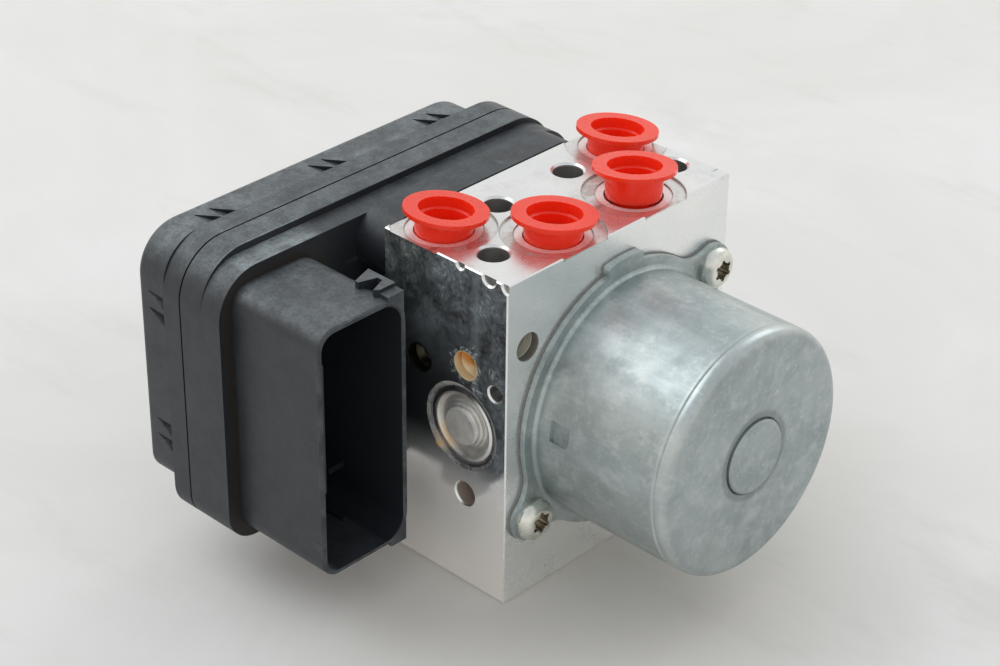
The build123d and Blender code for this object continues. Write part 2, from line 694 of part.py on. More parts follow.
def motor_can():
    """Drawn steel can: closed end with a boss, grooved end band, and a lugged flange."""
    flange_back = GASKET_THICKNESS
    flange_front = flange_back + FLANGE_THICKNESS
    end = CAN_LENGTH
    groove = end - CAN_BAND
    profile = make_face(
        Polyline(
            (CAN_INNER, flange_back),
            (FLANGE_RADIUS, flange_back),
            (FLANGE_RADIUS, flange_front),
            (CAN_RADIUS, flange_front),
            (CAN_RADIUS, groove - CAN_BAND_STEP),
            (CAN_RADIUS - CAN_BAND_STEP, groove),
            (CAN_RADIUS, groove + CAN_BAND_STEP),
            (CAN_RADIUS, end),
            (BOSS_RADIUS + BOSS_MOAT, end),
            (BOSS_RADIUS, end - BOSS_MOAT),
            (BOSS_RADIUS, end + BOSS_RAISE - BOSS_EDGE),
            (BOSS_RADIUS - BOSS_EDGE, end + BOSS_RAISE),
            (0, end + BOSS_RAISE),
            (0, end - CAN_WALL + BEARING_RECESS),
            (REAR_BEARING_RADIUS, end - CAN_WALL + BEARING_RECESS),
            (REAR_BEARING_RADIUS, end - CAN_WALL),
            (CAN_INNER, end - CAN_WALL),
            close=True,
        )
    )
    root = profile.vertices().sort_by_distance((CAN_RADIUS, flange_front))[0]
    profile = fillet(root, CAN_ROOT_RADIUS)
    corner = profile.vertices().sort_by_distance((CAN_RADIUS, end))[0]
    profile = fillet(corner, CAN_CORNER)
    inside = profile.vertices().sort_by_distance((CAN_INNER, end - CAN_WALL))[0]
    profile = fillet(inside, CAN_CORNER - CAN_WALL + CAN_BAND_STEP)
    base = Plane(origin=(0, FRONT, MOTOR_HEIGHT), z_dir=(0, -1, 0))
    can = base.location * revolve(Plane.XZ * profile, axis=Axis.Z)
    mouth = Pos(*MOTOR_AXIS) * Circle(CAN_INNER)
    lugs = facing(FRONT - flange_back, flange_outline() - mouth, FLANGE_THICKNESS)
    tab = facing(FRONT - flange_back, flange_tab(), FLANGE_THICKNESS + FLANGE_TAB_STEP)
    holes = [rod(SCREW_RADIUS + SCREW_CLEARANCE, (x, FRONT, z), (0, -1, 0), flange_front) for x, z in MOTOR_SCREWS]
    tangs = [tang_cut(TANG_ANGLE), tang_cut(TANG_ANGLE + 180)]
    return can + lugs + tab - holes - tangs


def motor_gasket():
    """Flat gasket between the flange and the block."""
    outline = flange_outline(GASKET_LIP) + flange_tab()
    outline -= Pos(*MOTOR_AXIS) * Circle(BRUSH_PLATE_RADIUS + SCREW_CLEARANCE)
    for hole in screw_holes(SCREW_RADIUS + SCREW_CLEARANCE):
        outline -= hole
    return facing(FRONT, outline, GASKET_THICKNESS)


def socket_outline():
    """Six-lobed driver recess."""
    lobe_radius = SCREW_SOCKET_RADIUS / 5
    reach = SCREW_SOCKET_RADIUS - lobe_radius
    outline = Circle(reach - JOIN)
    for turn in range(6):
        outline += Rot(0, 0, 60 * turn) * Pos(reach, 0) * Circle(lobe_radius)
    return outline


def motor_screws():
    """Pan-head screws through the flange lugs."""
    seat = GASKET_THICKNESS + FLANGE_THICKNESS
    crown = SCREW_HEAD_RADIUS * SCREW_CROWN_SHARE
    rim = SCREW_HEAD_HEIGHT * SCREW_RIM_SHARE
    bulge = (SCREW_HEAD_RADIUS * SCREW_BULGE_SHARE, -seat - SCREW_HEAD_HEIGHT * SCREW_BULGE_RISE)
    shank = SCREW_RADIUS - SCREW_THREAD_GAP
    screws = []
    for x, z in MOTOR_SCREWS:
        edge = Polyline(
            (0, -seat - SCREW_HEAD_HEIGHT),
            (crown, -seat - SCREW_HEAD_HEIGHT),
        )
        dome = ThreePointArc(
            (crown, -seat - SCREW_HEAD_HEIGHT),
            bulge,
            (SCREW_HEAD_RADIUS, -seat - rim),
        )
        shaft = Polyline(
            (SCREW_HEAD_RADIUS, -seat - rim),
            (SCREW_HEAD_RADIUS, -seat),
            (shank, -seat),
            (shank, SCREW_REACH - shank),
            (0, SCREW_REACH),
            (0, -seat - SCREW_HEAD_HEIGHT),
        )
        body = revolve(Plane.XZ * make_face([edge, dome, shaft]), axis=Axis.Z)
        place = Plane(origin=(x, FRONT, z), z_dir=(0, 1, 0))
        recess = Pos(0, 0, -seat - SCREW_HEAD_HEIGHT) * extrude(socket_outline(), amount=SCREW_SOCKET_DEPTH)
        screws.append(place.location * (body - recess))
    return Compound(children=screws)


# ================================================================ motor inside
def rotor_shaft():
    """Shaft with the pump's eccentric."""
    start = REAR_BEARING_Y + BEARING_END_GAP
    eccentric_start = PUMP_Y - ECCENTRIC_WIDTH / 2
    shaft = rod(SHAFT_RADIUS, (0, start, MOTOR_HEIGHT), (0, 1, 0), eccentric_start - start)
    lobe = rod(
        ECCENTRIC_RADIUS, (0, eccentric_start, MOTOR_HEIGHT + ECCENTRICITY), (0, 1, 0), ECCENTRIC_WIDTH
    )
    return shaft + lobe


def eccentric_bearing():
    """Ring on the eccentric, which drives both pump pistons."""
    ring = Circle(ECCENTRIC_RING_RADIUS) - Circle(ECCENTRIC_RADIUS)
    outline = Pos(0, MOTOR_HEIGHT + ECCENTRICITY) * ring
    half = ECCENTRIC_WIDTH / 2 - ECCENTRIC_RING_INSET
    return along_y(outline, PUMP_Y - half, PUMP_Y + half)


def slot_outline(gap=0.0):
    """One winding slot, pointing along +X from the shaft."""
    bottom = CORE_RADIUS - CORE_TOOTH_TIP - CORE_SLOT_DEPTH
    width = CORE_SLOT_WIDTH - 2 * gap
    taper = Polyline(
        (bottom + gap, -width / 3),
        (CORE_RADIUS - CORE_TOOTH_TIP - gap, -width / 2),
        (CORE_RADIUS - CORE_TOOTH_TIP - gap, width / 2),
        (bottom + gap, width / 3),
        close=True,
    )
    return make_face(taper)


def armature_core():
    """Slotted lamination stack."""
    outline = Circle(CORE_RADIUS) - Circle(SHAFT_RADIUS)
    mouth_length = 2 * CORE_TOOTH_TIP
    mouth = Pos(CORE_RADIUS, 0) * Rectangle(mouth_length, CORE_SLOT_MOUTH)
    for slot in range(CORE_SLOTS):
        outline -= Rot(0, 0, 360 / CORE_SLOTS * slot) * (slot_outline() + mouth)
    return along_y(Pos(*MOTOR_AXIS) * outline, CORE_BACK_Y, CORE_FRONT_Y)


def armature_windings():
    """Wire bundles through the slots, joined by the end turns."""
    outer = CORE_RADIUS - CORE_TOOTH_TIP
    inner = outer - CORE_SLOT_DEPTH
    waist = WINDING_OVERHANG - WINDING_ROUND / 2
    bars = Sketch() + [
        Rot(0, 0, 360 / CORE_SLOTS * slot) * slot_outline(WINDING_GAP) for slot in range(CORE_SLOTS)
    ]
    windings = along_y(Pos(*MOTOR_AXIS) * bars, CORE_BACK_Y - JOIN, CORE_FRONT_Y + JOIN)
    for y, direction in ((CORE_BACK_Y, -1), (CORE_FRONT_Y, 1)):
        crown = turned(
            [
                (inner, 0),
                (outer, 0),
                (outer - WINDING_ROUND / 4, waist),
                (outer - WINDING_ROUND, WINDING_OVERHANG),
                (inner + WINDING_ROUND, WINDING_OVERHANG),
                (inner, waist),
            ],
            (0, y, MOTOR_HEIGHT),
            (0, direction, 0),
        )
        windings += crown
    return windings


def commutator():
    """Copper commutator on the shaft."""
    outline = Pos(*MOTOR_AXIS) * (Circle(COMMUTATOR_RADIUS) - Circle(SHAFT_RADIUS))
    return along_y(outline, COMMUTATOR_Y, COMMUTATOR_Y + COMMUTATOR_LENGTH)


def motor_magnets():
    """Arc magnets against the wall of the can."""
    half = radians(MAGNET_ANGLE / 2)
    reach = 2 * CAN_RADIUS
    wedge = make_face(
        Polyline(
            (0, 0),
            (reach * cos(half), -reach * sin(half)),
            (reach * cos(half), reach * sin(half)),
            close=True,
        )
    )
    arc = (Circle(CAN_INNER) - Circle(CAN_INNER - MAGNET_THICKNESS)) & wedge
    middle = (CORE_BACK_Y + CORE_FRONT_Y) / 2
    magnets = []
    for index in range(MAGNET_COUNT):
        turned_arc = Pos(*MOTOR_AXIS) * Rot(0, 0, 360 / MAGNET_COUNT * (index + 0.5)) * arc
        magnets.append(along_y(turned_arc, middle - MAGNET_LENGTH / 2, middle + MAGNET_LENGTH / 2))
    return Compound(children=magnets)


def shaft_bearing(radius, width, y):
    """Sealed bearing around the shaft, with its shield grooves."""
    inner = SHAFT_RADIUS + SHAFT_RUNNING_GAP
    race = inner + (radius - inner) * BEARING_RACE_SHARE
    rim = radius - (radius - inner) * BEARING_RACE_SHARE
    profile = [
        (inner, 0),
        (race, 0),
        (race, BEARING_SHIELD),
        (rim, BEARING_SHIELD),
        (rim, 0),
        (radius, 0),
        (radius, width),
        (rim, width),
        (rim, width - BEARING_SHIELD),
        (race, width - BEARING_SHIELD),
        (race, width),
        (inner, width),
    ]
    return turned(profile, (0, y, MOTOR_HEIGHT), (0, 1, 0))


def brush_plate():
    """Moulded plate in the mouth of the can, with two brush boxes."""
    disc = Circle(BRUSH_PLATE_RADIUS) - Circle(FRONT_BEARING_RADIUS)
    plate = facing(FRONT, Pos(*MOTOR_AXIS) * disc, BRUSH_PLATE_THICKNESS)
    box_front = BRUSH_Y - BRUSH_WIDTH / 2 - BRUSH_BOX_WALL
    for side in (-1, 1):
        start = COMMUTATOR_RADIUS + BRUSH_BOX_WALL
        length = BRUSH_LENGTH
        height = BRUSH_HEIGHT + 2 * BRUSH_BOX_WALL
        outline = Pos(side * (start + length / 2), MOTOR_HEIGHT) * Rectangle(length, height)
        plate += along_y(outline, box_front, FRONT - BRUSH_PLATE_THICKNESS / 2)
    plate -= rod(FRONT_BEARING_RADIUS, (0, FRONT, MOTOR_HEIGHT), (0, -1, 0), FRONT - FRONT_BEARING_Y)
    plate -= brush_blocks(BRUSH_FIT, BRUSH_LENGTH)
    for x in (-TERMINAL_SPACING / 2, TERMINAL_SPACING / 2):
        plate -= terminal(x)
    return plate


def brush_blocks(extra, longer):
    """Both carbon brushes, or the channels that guide them."""
    blocks = []
    length = BRUSH_LENGTH + longer
    for side in (-1, 1):
        centre = side * (COMMUTATOR_RADIUS + BRUSH_GAP + length / 2)
        outline = Pos(centre, MOTOR_HEIGHT) * Rectangle(length, BRUSH_HEIGHT + 2 * extra)
        blocks.append(along_y(outline, BRUSH_Y - BRUSH_WIDTH / 2 - extra, BRUSH_Y + BRUSH_WIDTH / 2 + extra))
    return blocks


def terminal(x):
    """One motor terminal blade through the block to the circuit board."""
    outline = Pos(x, TERMINAL_HEIGHT) * Rectangle(TERMINAL_WIDTH, TERMINAL_WIDTH)
    return along_y(outline, FRONT - BRUSH_PLATE_THICKNESS, BOARD_Y)


# ================================================================ pump
def pump_sleeve(side):
    """Cylinder in which one pump piston runs."""
    bore = PISTON_RADIUS + PISTON_RUNNING_GAP
    profile = [
        (bore, SLEEVE_INNER),
        (SLEEVE_RADIUS - SLEEVE_LEAD, SLEEVE_INNER),
        (SLEEVE_RADIUS, SLEEVE_INNER + SLEEVE_LEAD),
        (SLEEVE_RADIUS, CAP_INNER),
        (bore, CAP_INNER),
    ]
    return turned(profile, (0, PUMP_Y, MOTOR_HEIGHT), (side, 0, 0))


def pump_piston(side):
    """Pump piston, just clear of the eccentric's furthest reach."""
    tail = PISTON_TIP + PISTON_LENGTH
    profile = [
        (0, PISTON_TIP),
        (PISTON_RADIUS - SLEEVE_LEAD, PISTON_TIP),
        (PISTON_RADIUS, PISTON_TIP + SLEEVE_LEAD),
        (PISTON_RADIUS, tail),
        (0, tail),
    ]
    return turned(profile, (0, PUMP_Y, MOTOR_HEIGHT), (side, 0, 0))


def pump_spring(side):
    """Return spring between the cap and the furthest place of the piston."""
    length = CAP_INNER - (PISTON_TIP + PISTON_LENGTH + PISTON_STROKE) - SPRING_END_GAP
    start = (side * CAP_INNER, PUMP_Y, MOTOR_HEIGHT)
    return coil_spring(PUMP_SPRING_RADIUS, PUMP_SPRING_WIRE, PUMP_SPRING_TURNS, length, start, (-side, 0, 0))


def pump_cap(side):
    """Staked cap that closes a pump bore, with a stepped boss in a turned groove."""
    step_depth = (CAP_DISC_RISE + CAP_GROOVE_DEPTH) / CAP_STEPS
    profile = [
        (0, CAP_THICKNESS),
        (CAP_RADIUS, CAP_THICKNESS),
        (CAP_RADIUS, 0),
        (CAP_RIM_RADIUS, 0),
        (CAP_GROOVE_RADIUS, CAP_GROOVE_DEPTH),
    ]
    for step in range(CAP_STEPS, 0, -1):
        tread = CAP_DISC_RADIUS + step * CAP_STEP_WIDTH
        depth = step * step_depth - CAP_DISC_RISE
        profile.append((tread, depth))
        profile.append((tread - CAP_STEP_WIDTH + CAP_STEP_SLOPE, depth))
    profile += [(CAP_DISC_RADIUS, -CAP_DISC_RISE), (0, -CAP_DISC_RISE)]
    return turned(profile, (side * CAP_FACE, PUMP_Y, MOTOR_HEIGHT), (-side, 0, 0))


# ================================================================ reservoirs
def reservoir_piston(side):
    """Cup piston with a seal groove."""
    outer = RESERVOIR_RADIUS - RESERVOIR_RUNNING_GAP
    inner = outer - RESERVOIR_WALL
    top = RESERVOIR_HEAD_Z
    bottom = top - RESERVOIR_PISTON_HEIGHT
    groove_top = top - RESERVOIR_CROWN
    groove_bottom = groove_top - RESERVOIR_SEAL_HEIGHT
    profile = [
        (0, top),
        (outer, top),
        (outer, groove_top),
        (outer - RESERVOIR_SEAL_DEPTH, groove_top),
        (outer - RESERVOIR_SEAL_DEPTH, groove_bottom),
        (outer, groove_bottom),
        (outer, bottom),
        (inner, bottom),
        (inner, top - RESERVOIR_CROWN),
        (0, top - RESERVOIR_CROWN),
    ]
    return turned(profile, (side * RESERVOIR_SPREAD / 2, 0, 0), (0, 0, 1))


def reservoir_seal(side):
    """Rubber ring in the piston's groove."""
    outer = RESERVOIR_RADIUS - RESERVOIR_RUNNING_GAP / 2
    inner = RESERVOIR_RADIUS - RESERVOIR_RUNNING_GAP - RESERVOIR_SEAL_DEPTH
    top = RESERVOIR_HEAD_Z - RESERVOIR_CROWN
    profile = [
        (inner, top),
        (outer, top),
        (outer, top - RESERVOIR_SEAL_HEIGHT),
        (inner, top - RESERVOIR_SEAL_HEIGHT),
    ]
    return turned(profile, (side * RESERVOIR_SPREAD / 2, 0, 0), (0, 0, 1))


def reservoir_spring(side):
    """Spring that holds the piston up against the head of its bore."""
    length = RESERVOIR_HEAD_Z - RESERVOIR_CROWN - RESERVOIR_CAP_TOP
    start = (side * RESERVOIR_SPREAD / 2, 0, RESERVOIR_CAP_TOP)
    return coil_spring(
        RESERVOIR_SPRING_RADIUS, RESERVOIR_SPRING_WIRE, RESERVOIR_SPRING_TURNS, length, start, (0, 0, 1)
    )


def reservoir_cap(side):
    """Pressed cap, set just inside the bottom face."""
    floor = RESERVOIR_CAP_SINK + RESERVOIR_CAP_STEP
    profile = [
        (0, RESERVOIR_CAP_TOP),
        (RESERVOIR_CAP_RADIUS, RESERVOIR_CAP_TOP),
        (RESERVOIR_CAP_RADIUS, RESERVOIR_CAP_SINK),
        (RESERVOIR_CAP_DISH + RESERVOIR_CAP_STEP, RESERVOIR_CAP_SINK),
        (RESERVOIR_CAP_DISH, floor),
        (0, floor),
    ]
    return turned(profile, (side * RESERVOIR_SPREAD / 2, 0, 0), (0, 0, 1))


# ================================================================ valves and coils
def valves(row):
    """One row of sealed solenoid valve cartridges."""
    body = VALVE_RADIUS - VALVE_FIT
    collar = VALVE_COLLAR_RADIUS - VALVE_FIT
    profile = [
        (0, -VALVE_DEPTH),
        (body - VALVE_BEVEL, -VALVE_DEPTH),
        (body, VALVE_BEVEL - VALVE_DEPTH),
        (body, -VALVE_COLLAR_DEPTH),
        (collar, -VALVE_COLLAR_DEPTH),
        (collar, 0),
        (VALVE_DOME_RADIUS, 0),
        (VALVE_DOME_RADIUS, VALVE_DOME_LENGTH - VALVE_BEVEL),
        (VALVE_DOME_RADIUS - VALVE_BEVEL, VALVE_DOME_LENGTH),
        (0, VALVE_DOME_LENGTH),
    ]
    return Compound(children=[turned(profile, (x, BACK, row), (0, 1, 0)) for x in VALVE_COLUMNS])


def solenoid_coils():
    """Wound bobbins that slide over the valve domes."""
    bore = VALVE_DOME_RADIUS + COIL_BORE_GAP
    winding = COIL_RADIUS - COIL_WINDING_INSET
    profile = [
        (bore, 0),
        (COIL_RADIUS, 0),
        (COIL_RADIUS, COIL_FLANGE),
        (winding, COIL_FLANGE),
        (winding, COIL_LENGTH - COIL_FLANGE),
        (COIL_RADIUS, COIL_LENGTH - COIL_FLANGE),
        (COIL_RADIUS, COIL_LENGTH),
        (bore, COIL_LENGTH),
    ]
    start = BACK + COIL_STANDOFF
    places = [(x, z) for x in VALVE_COLUMNS for z in (INLET_ROW, OUTLET_ROW)]
    return Compound(children=[turned(profile, (x, start, z), (0, 1, 0)) for x, z in places])


# ================================================================ controller
def pan_outline(inset=0.0, drop=0.0):
    """Outline of the controller's pan and of its cover's rim."""
    return panel(
        PAN_LEFT + inset,
        PAN_RIGHT - inset,
        PAN_BOTTOM + inset,
        PAN_TOP - drop - inset,
        PAN_BOTTOM_CORNER - inset,
        PAN_TOP_CORNER - drop - inset,
    )


def neck_outline(inset=0.0):
    """Neck with four round corner lobes and drawn-in sides."""
    left = NECK_LEFT + inset
    right = NECK_RIGHT - inset
    bottom = PAN_BOTTOM + inset
    top = PAN_TOP - inset
    lobe = NECK_LOBE_RADIUS - inset
    outline = Pos((left + right) / 2, (bottom + top) / 2) * Rectangle(right - left - 2 * lobe, top - bottom)
    waist_left = NECK_WAIST_LEFT + inset
    waist_right = NECK_WAIST_RIGHT - inset
    waist = Rectangle(waist_right - waist_left, top - bottom - 2 * lobe)
    outline += Pos((waist_left + waist_right) / 2, (bottom + top) / 2) * waist
    for x in (left + lobe, right - lobe):
        for z in (bottom + lobe, top - lobe):
            outline += Pos(x, z) * Circle(lobe)
    return outline


def shroud_outline():
    """Outline of the connector shroud."""
    return rounded(
        SHROUD_LEFT, SHROUD_RIGHT, SHROUD_BOTTOM, SHROUD_TOP, SHROUD_LEFT_CORNER, SHROUD_RIGHT_CORNER
    )


def socket_space():
    """Hollow of the connector shroud."""
    outline = rounded(
        SHROUD_LEFT + SHROUD_WALL,
        SHROUD_RIGHT - SHROUD_RIGHT_WALL,
        SHROUD_BOTTOM + SHROUD_WALL,
        SHROUD_TOP - SHROUD_WALL,
        SHROUD_LEFT_CORNER - SHROUD_WALL,
        SHROUD_RIGHT_CORNER - SHROUD_RIGHT_WALL,
    )
    return along_y(outline, SHROUD_MOUTH_Y, PAN_FACE_Y)


def shroud_body():
    """Outside of the shroud, with a bevelled rim."""
    body = along_y(shroud_outline(), SHROUD_MOUTH_Y, PAN_FACE_Y)
    return chamfer(body.faces().sort_by(Axis.Y)[0].edges(), SHROUD_RIM_BEVEL)


def latch(plate_low, plate_high, ledge_low, ledge_high):
    """Notched lever guide on a corner of the shroud, with a ledge in front of it."""
    right = SHROUD_RIGHT - LATCH_SET_IN
    left = right - LATCH_WIDTH
    neck = right - LATCH_NECK
    front = SHROUD_MOUTH_Y + LATCH_SET_BACK
    back = front + LATCH_DEPTH
    outline = make_face(
        Polyline(
            (right, front),
            (right, back),
            (left, back - LATCH_SLOPE),
            (left, back - LATCH_SLOPE - LATCH_TIP),
            (neck, front + LATCH_NOTCH_BACK),
            (neck, front + LATCH_NOTCH_FRONT),
            (left, front + LATCH_TIP),
            (left + LATCH_TIP, front),
            close=True,
        )
    )
    plate = Pos(0, 0, plate_low) * extrude(outline, amount=plate_high - plate_low)
    foot = make_face(
        Polyline(
            (left + LATCH_TIP, SHROUD_MOUTH_Y),
            (right, SHROUD_MOUTH_Y),
            (right, front + LATCH_TIP),
            (left + LATCH_TIP, front + LATCH_TIP),
            close=True,
        )
    )
    return plate + Pos(0, 0, ledge_low) * extrude(foot, amount=ledge_high - ledge_low)


def latches():
    """Lever guides at the top and bottom of the shroud."""
    top = SHROUD_TOP + LATCH_RISE
    top_root = SHROUD_TOP - SHROUD_RIGHT_CORNER
    bottom = SHROUD_BOTTOM - LATCH_FOOT
    bottom_root = SHROUD_BOTTOM + SHROUD_RIGHT_CORNER
    return [
        latch(top_root, top, top_root, top - LATCH_LEDGE_DROP),
        latch(bottom, bottom_root, bottom, bottom_root),
    ]


def socket_ribs():
    """Ribs, shelf and sealing strip inside the shroud."""
    wall = SHROUD_LEFT + SHROUD_WALL
    floor = SHROUD_BOTTOM + SHROUD_WALL
    ribs = []
    for z in KEY_RIB_HEIGHTS:
        outline = Pos(wall + KEY_RIB_DEPTH / 2 - JOIN / 2, z) * Rectangle(KEY_RIB_DEPTH + JOIN, KEY_RIB_WIDTH)
        ribs.append(along_y(outline, SHROUD_MOUTH_Y + KEY_RIB_SET_BACK, PAN_FACE_Y))
    shelf_x = SHROUD_RIGHT - SHROUD_RIGHT_WALL - SHELF_WIDTH / 2 + JOIN / 2
    shelf = Pos(shelf_x, SHROUD_BOTTOM + SHELF_RISE) * Rectangle(SHELF_WIDTH + JOIN, SHELF_THICKNESS)
    ribs.append(along_y(shelf, PAN_FACE_Y - SHELF_LENGTH, PAN_FACE_Y))
    floor_rib = Pos(FLOOR_RIB_X, floor + FLOOR_RIB_HEIGHT / 2 - JOIN / 2)
    outline = floor_rib * Rectangle(KEY_RIB_WIDTH, FLOOR_RIB_HEIGHT + JOIN)
    ribs.append(along_y(outline, PAN_FACE_Y - FLOOR_RIB_LENGTH, PAN_FACE_Y))
    strip = Pos(wall + STRIP_HEIGHT / 2 - JOIN / 2, (STRIP_BOTTOM + STRIP_TOP) / 2)
    outline = strip * Rectangle(STRIP_HEIGHT + JOIN, STRIP_TOP - STRIP_BOTTOM)
    ribs.append(along_y(outline, SHROUD_MOUTH_Y + SHROUD_RIM_BEVEL, SHROUD_MOUTH_Y + STRIP_WIDTH))
    return ribs


def controller_housing():
    """Moulded pan, neck and connector shroud in one piece."""
    floor_y = PAN_FACE_Y + PAN_FACE_WALL
    outside = [
        along_y(pan_outline(), SHOULDER_Y, SEAM_Y),
        along_y(neck_outline(), BACK + NECK_SEAL_GAP, PAN_FACE_Y),
        shroud_body(),
    ] + latches()
    inside = [
        along_y(pan_outline(PAN_WALL, SHOULDER_DROP), floor_y, SHOULDER_Y),
        along_y(pan_outline(PAN_WALL), SHOULDER_Y, SEAM_Y),
        along_y(neck_outline(NECK_WALL), BACK, floor_y),
        socket_space(),
    ]
    housing = along_y(pan_outline(drop=SHOULDER_DROP), PAN_FACE_Y, SHOULDER_Y) + outside - inside
    fittings = socket_ribs()
    for x, z in CONTROLLER_SCREWS:
        fittings.append(along_y(boss_outline(x, z), BACK, BACK + CONTROLLER_BOSS_HEIGHT))
    for x, z in board_posts():
        fittings.append(rod(POST_RADIUS, (x, floor_y - JOIN, z), (0, 1, 0), BOARD_Y - floor_y + JOIN))
    holes = [seal_ring(0.0)] + pins()
    for x, z in CONTROLLER_SCREWS:
        holes.append(
            rod(CONTROLLER_SCREW_RADIUS + SCREW_CLEARANCE, (x, BACK, z), (0, 1, 0), CONTROLLER_BOSS_HEIGHT)
        )
    return housing + fittings - holes


def boss_outline(x, z):
    """Round screw boss with a web into the neck's nearest wall."""
    wall = NECK_WALL - JOIN
    radius = CONTROLLER_BOSS_RADIUS
    if x < 0:
        corners = ((NECK_WAIST_LEFT + wall, z - radius), (x, z + radius))
    elif x > 0:
        corners = ((x, z - radius), (NECK_WAIST_RIGHT - wall, z + radius))
    elif z < MOTOR_HEIGHT:
        corners = ((x - radius, PAN_BOTTOM + wall), (x + radius, z))
    else:
        corners = ((x - radius, z), (x + radius, PAN_TOP - wall))
    (left, bottom), (right, top) = corners
    web = Pos((left + right) / 2, (bottom + top) / 2) * Rectangle(right - left, top - bottom)
    return Pos(x, z) * Circle(radius) + web


def board_posts():
    """Places of the posts that carry the circuit board, one in each corner of the pan."""
    top = PAN_TOP - SHOULDER_DROP
    places = []
    for x, side in ((PAN_LEFT, 1), (PAN_RIGHT, -1)):
        for z, rise, corner in ((PAN_BOTTOM, 1, PAN_BOTTOM_CORNER), (top, -1, PAN_TOP_CORNER - SHOULDER_DROP)):
            reach = corner - (corner - PAN_WALL - POST_RADIUS / 2) * cos(radians(45))
            places.append((x + side * reach, z + rise * reach))
    return places


def seal_ring(gap):
    """Rubber seal in the rim of the neck, or its groove."""
    inset = (NECK_WALL - NECK_SEAL_WIDTH) / 2 + gap
    ring = neck_outline(inset) - neck_outline(inset + NECK_SEAL_WIDTH - 2 * gap)
    return along_y(ring, BACK, BACK + NECK_SEAL_GAP + NECK_SEAL_DEPTH)


def pin_places():
    """Centres of the signal pins."""
    middle_x = (SHROUD_LEFT + SHROUD_RIGHT) / 2
    low = SHROUD_BOTTOM + PIN_FIRST_HEIGHT
    return [
        (middle_x + PIN_COLUMN_PITCH * (column - (PIN_COLUMNS - 1) / 2), low + PIN_PITCH * row)
        for column in range(PIN_COLUMNS)
        for row in range(PIN_ROWS)
    ]


def pins():
    """Signal pins and power blades of the connector."""
    start = PAN_FACE_Y - PIN_REACH
    middle_x = (SHROUD_LEFT + SHROUD_RIGHT) / 2
    contacts = [
        along_y(Pos(x, z) * Rectangle(PIN_WIDTH, PIN_WIDTH), start, BOARD_Y) for x, z in pin_places()
    ]
    for index in range(BLADE_COUNT):
        z = SHROUD_BOTTOM + BLADE_FIRST_HEIGHT + BLADE_PITCH * index
        outline = Pos(middle_x, z) * Rectangle(BLADE_WIDTH, BLADE_THICKNESS)
        contacts.append(along_y(outline, start, BOARD_Y))
    return contacts


def circuit_board():
    """Board across the pan, over the posts."""
    outline = pan_outline(PAN_WALL + BOARD_MARGIN)
    return along_y(outline, BOARD_Y, BOARD_Y + BOARD_THICKNESS)


def controller_screws():
    """Screws from the bosses in the neck into the block."""
    shank = CONTROLLER_SCREW_RADIUS - SCREW_THREAD_GAP
    rim = CONTROLLER_BOSS_HEIGHT + CONTROLLER_SCREW_RIM
    profile = [
        (0, -CONTROLLER_SCREW_REACH),
        (shank, shank - CONTROLLER_SCREW_REACH),
        (shank, CONTROLLER_BOSS_HEIGHT),
        (CONTROLLER_SCREW_HEAD, CONTROLLER_BOSS_HEIGHT),
        (CONTROLLER_SCREW_HEAD, rim),
        (CONTROLLER_SCREW_HEAD - CONTROLLER_SCREW_BEVEL, rim + CONTROLLER_SCREW_CROWN),
        (0, rim + CONTROLLER_SCREW_CROWN),
    ]
    return Compound(children=[turned(profile, (x, BACK, z), (0, 1, 0)) for x, z in CONTROLLER_SCREWS])


def cover_outline(inset=0.0):
    """Outline of the cover's deep part."""
    return panel(
        PAN_LEFT + COVER_INSET + inset,
        COVER_RIGHT - inset,
        COVER_BOTTOM + inset,
        PAN_TOP - COVER_INSET - inset,
        COVER_BOTTOM_CORNER - inset,
        COVER_TOP_CORNER - inset,
    )


def notch(width):
    """Wedge that grows deeper and wider towards the rim of the cover."""
    near = Plane.XZ * make_face(Polyline((0, 0), (width, 0), (width, -NOTCH_DEPTH), (0, -NOTCH_DEPTH), close=True))
    tip = make_face(Polyline((0, 0), (NOTCH_TIP, 0), (NOTCH_TIP, -NOTCH_TIP), (0, -NOTCH_TIP), close=True))
    return loft([near, Pos(0, NOTCH_LENGTH, 0) * (Plane.XZ * tip)])


def notches():
    """Pairs of slanted notches along the top and the left side of the cover."""
    start = SEAM_Y + BAND_DEPTH
    top_x = (PAN_LEFT + PAN_RIGHT) / 2 - NOTCH_OFFSET
    top_wedge = notch(NOTCH_WIDTH)
    side_wedge = Rot(0, 90, 0) * mirror(notch(NOTCH_SIDE_WIDTH), about=Plane.XY)
    cuts = []
    for index in (-1, 0, 1):
        for step in (-1, 0):
            x = top_x + NOTCH_PAIR_SPACING * index + NOTCH_PITCH * step
            cuts.append(Pos(x, start, PAN_TOP - COVER_INSET + JOIN) * top_wedge)
    for index in (-0.5, 0.5):
        for step in (-1, 0):
            z = PAN_TOP - NOTCH_SIDE_DROP + NOTCH_SIDE_SPACING * index + NOTCH_PITCH * step
            cuts.append(Pos(PAN_LEFT + COVER_INSET - JOIN, start, z) * side_wedge)
    return cuts


def controller_cover():
    """Welded cover: a rim like the pan's and a deeper, notched back."""
    rim_start = SEAM_Y + SEAM_GAP
    band_end = SEAM_Y + BAND_DEPTH
    back_y = SEAM_Y + COVER_DEPTH
    deep = along_y(cover_outline(), band_end - JOIN, back_y)
    deep = fillet(deep.faces().sort_by(Axis.Y)[-1].edges(), COVER_BACK_FILLET)
    cover = along_y(pan_outline(), rim_start, band_end) + deep
    cover += along_y(pan_outline(SEAM_GAP_DEPTH), SEAM_Y, rim_start)
    cover -= along_y(pan_outline(PAN_WALL), SEAM_Y, band_end - COVER_WALL)
    cover -= along_y(cover_outline(COVER_WALL), band_end - COVER_WALL - JOIN, back_y - COVER_WALL)
    for cut in notches():
        cover -= cut
    return cover


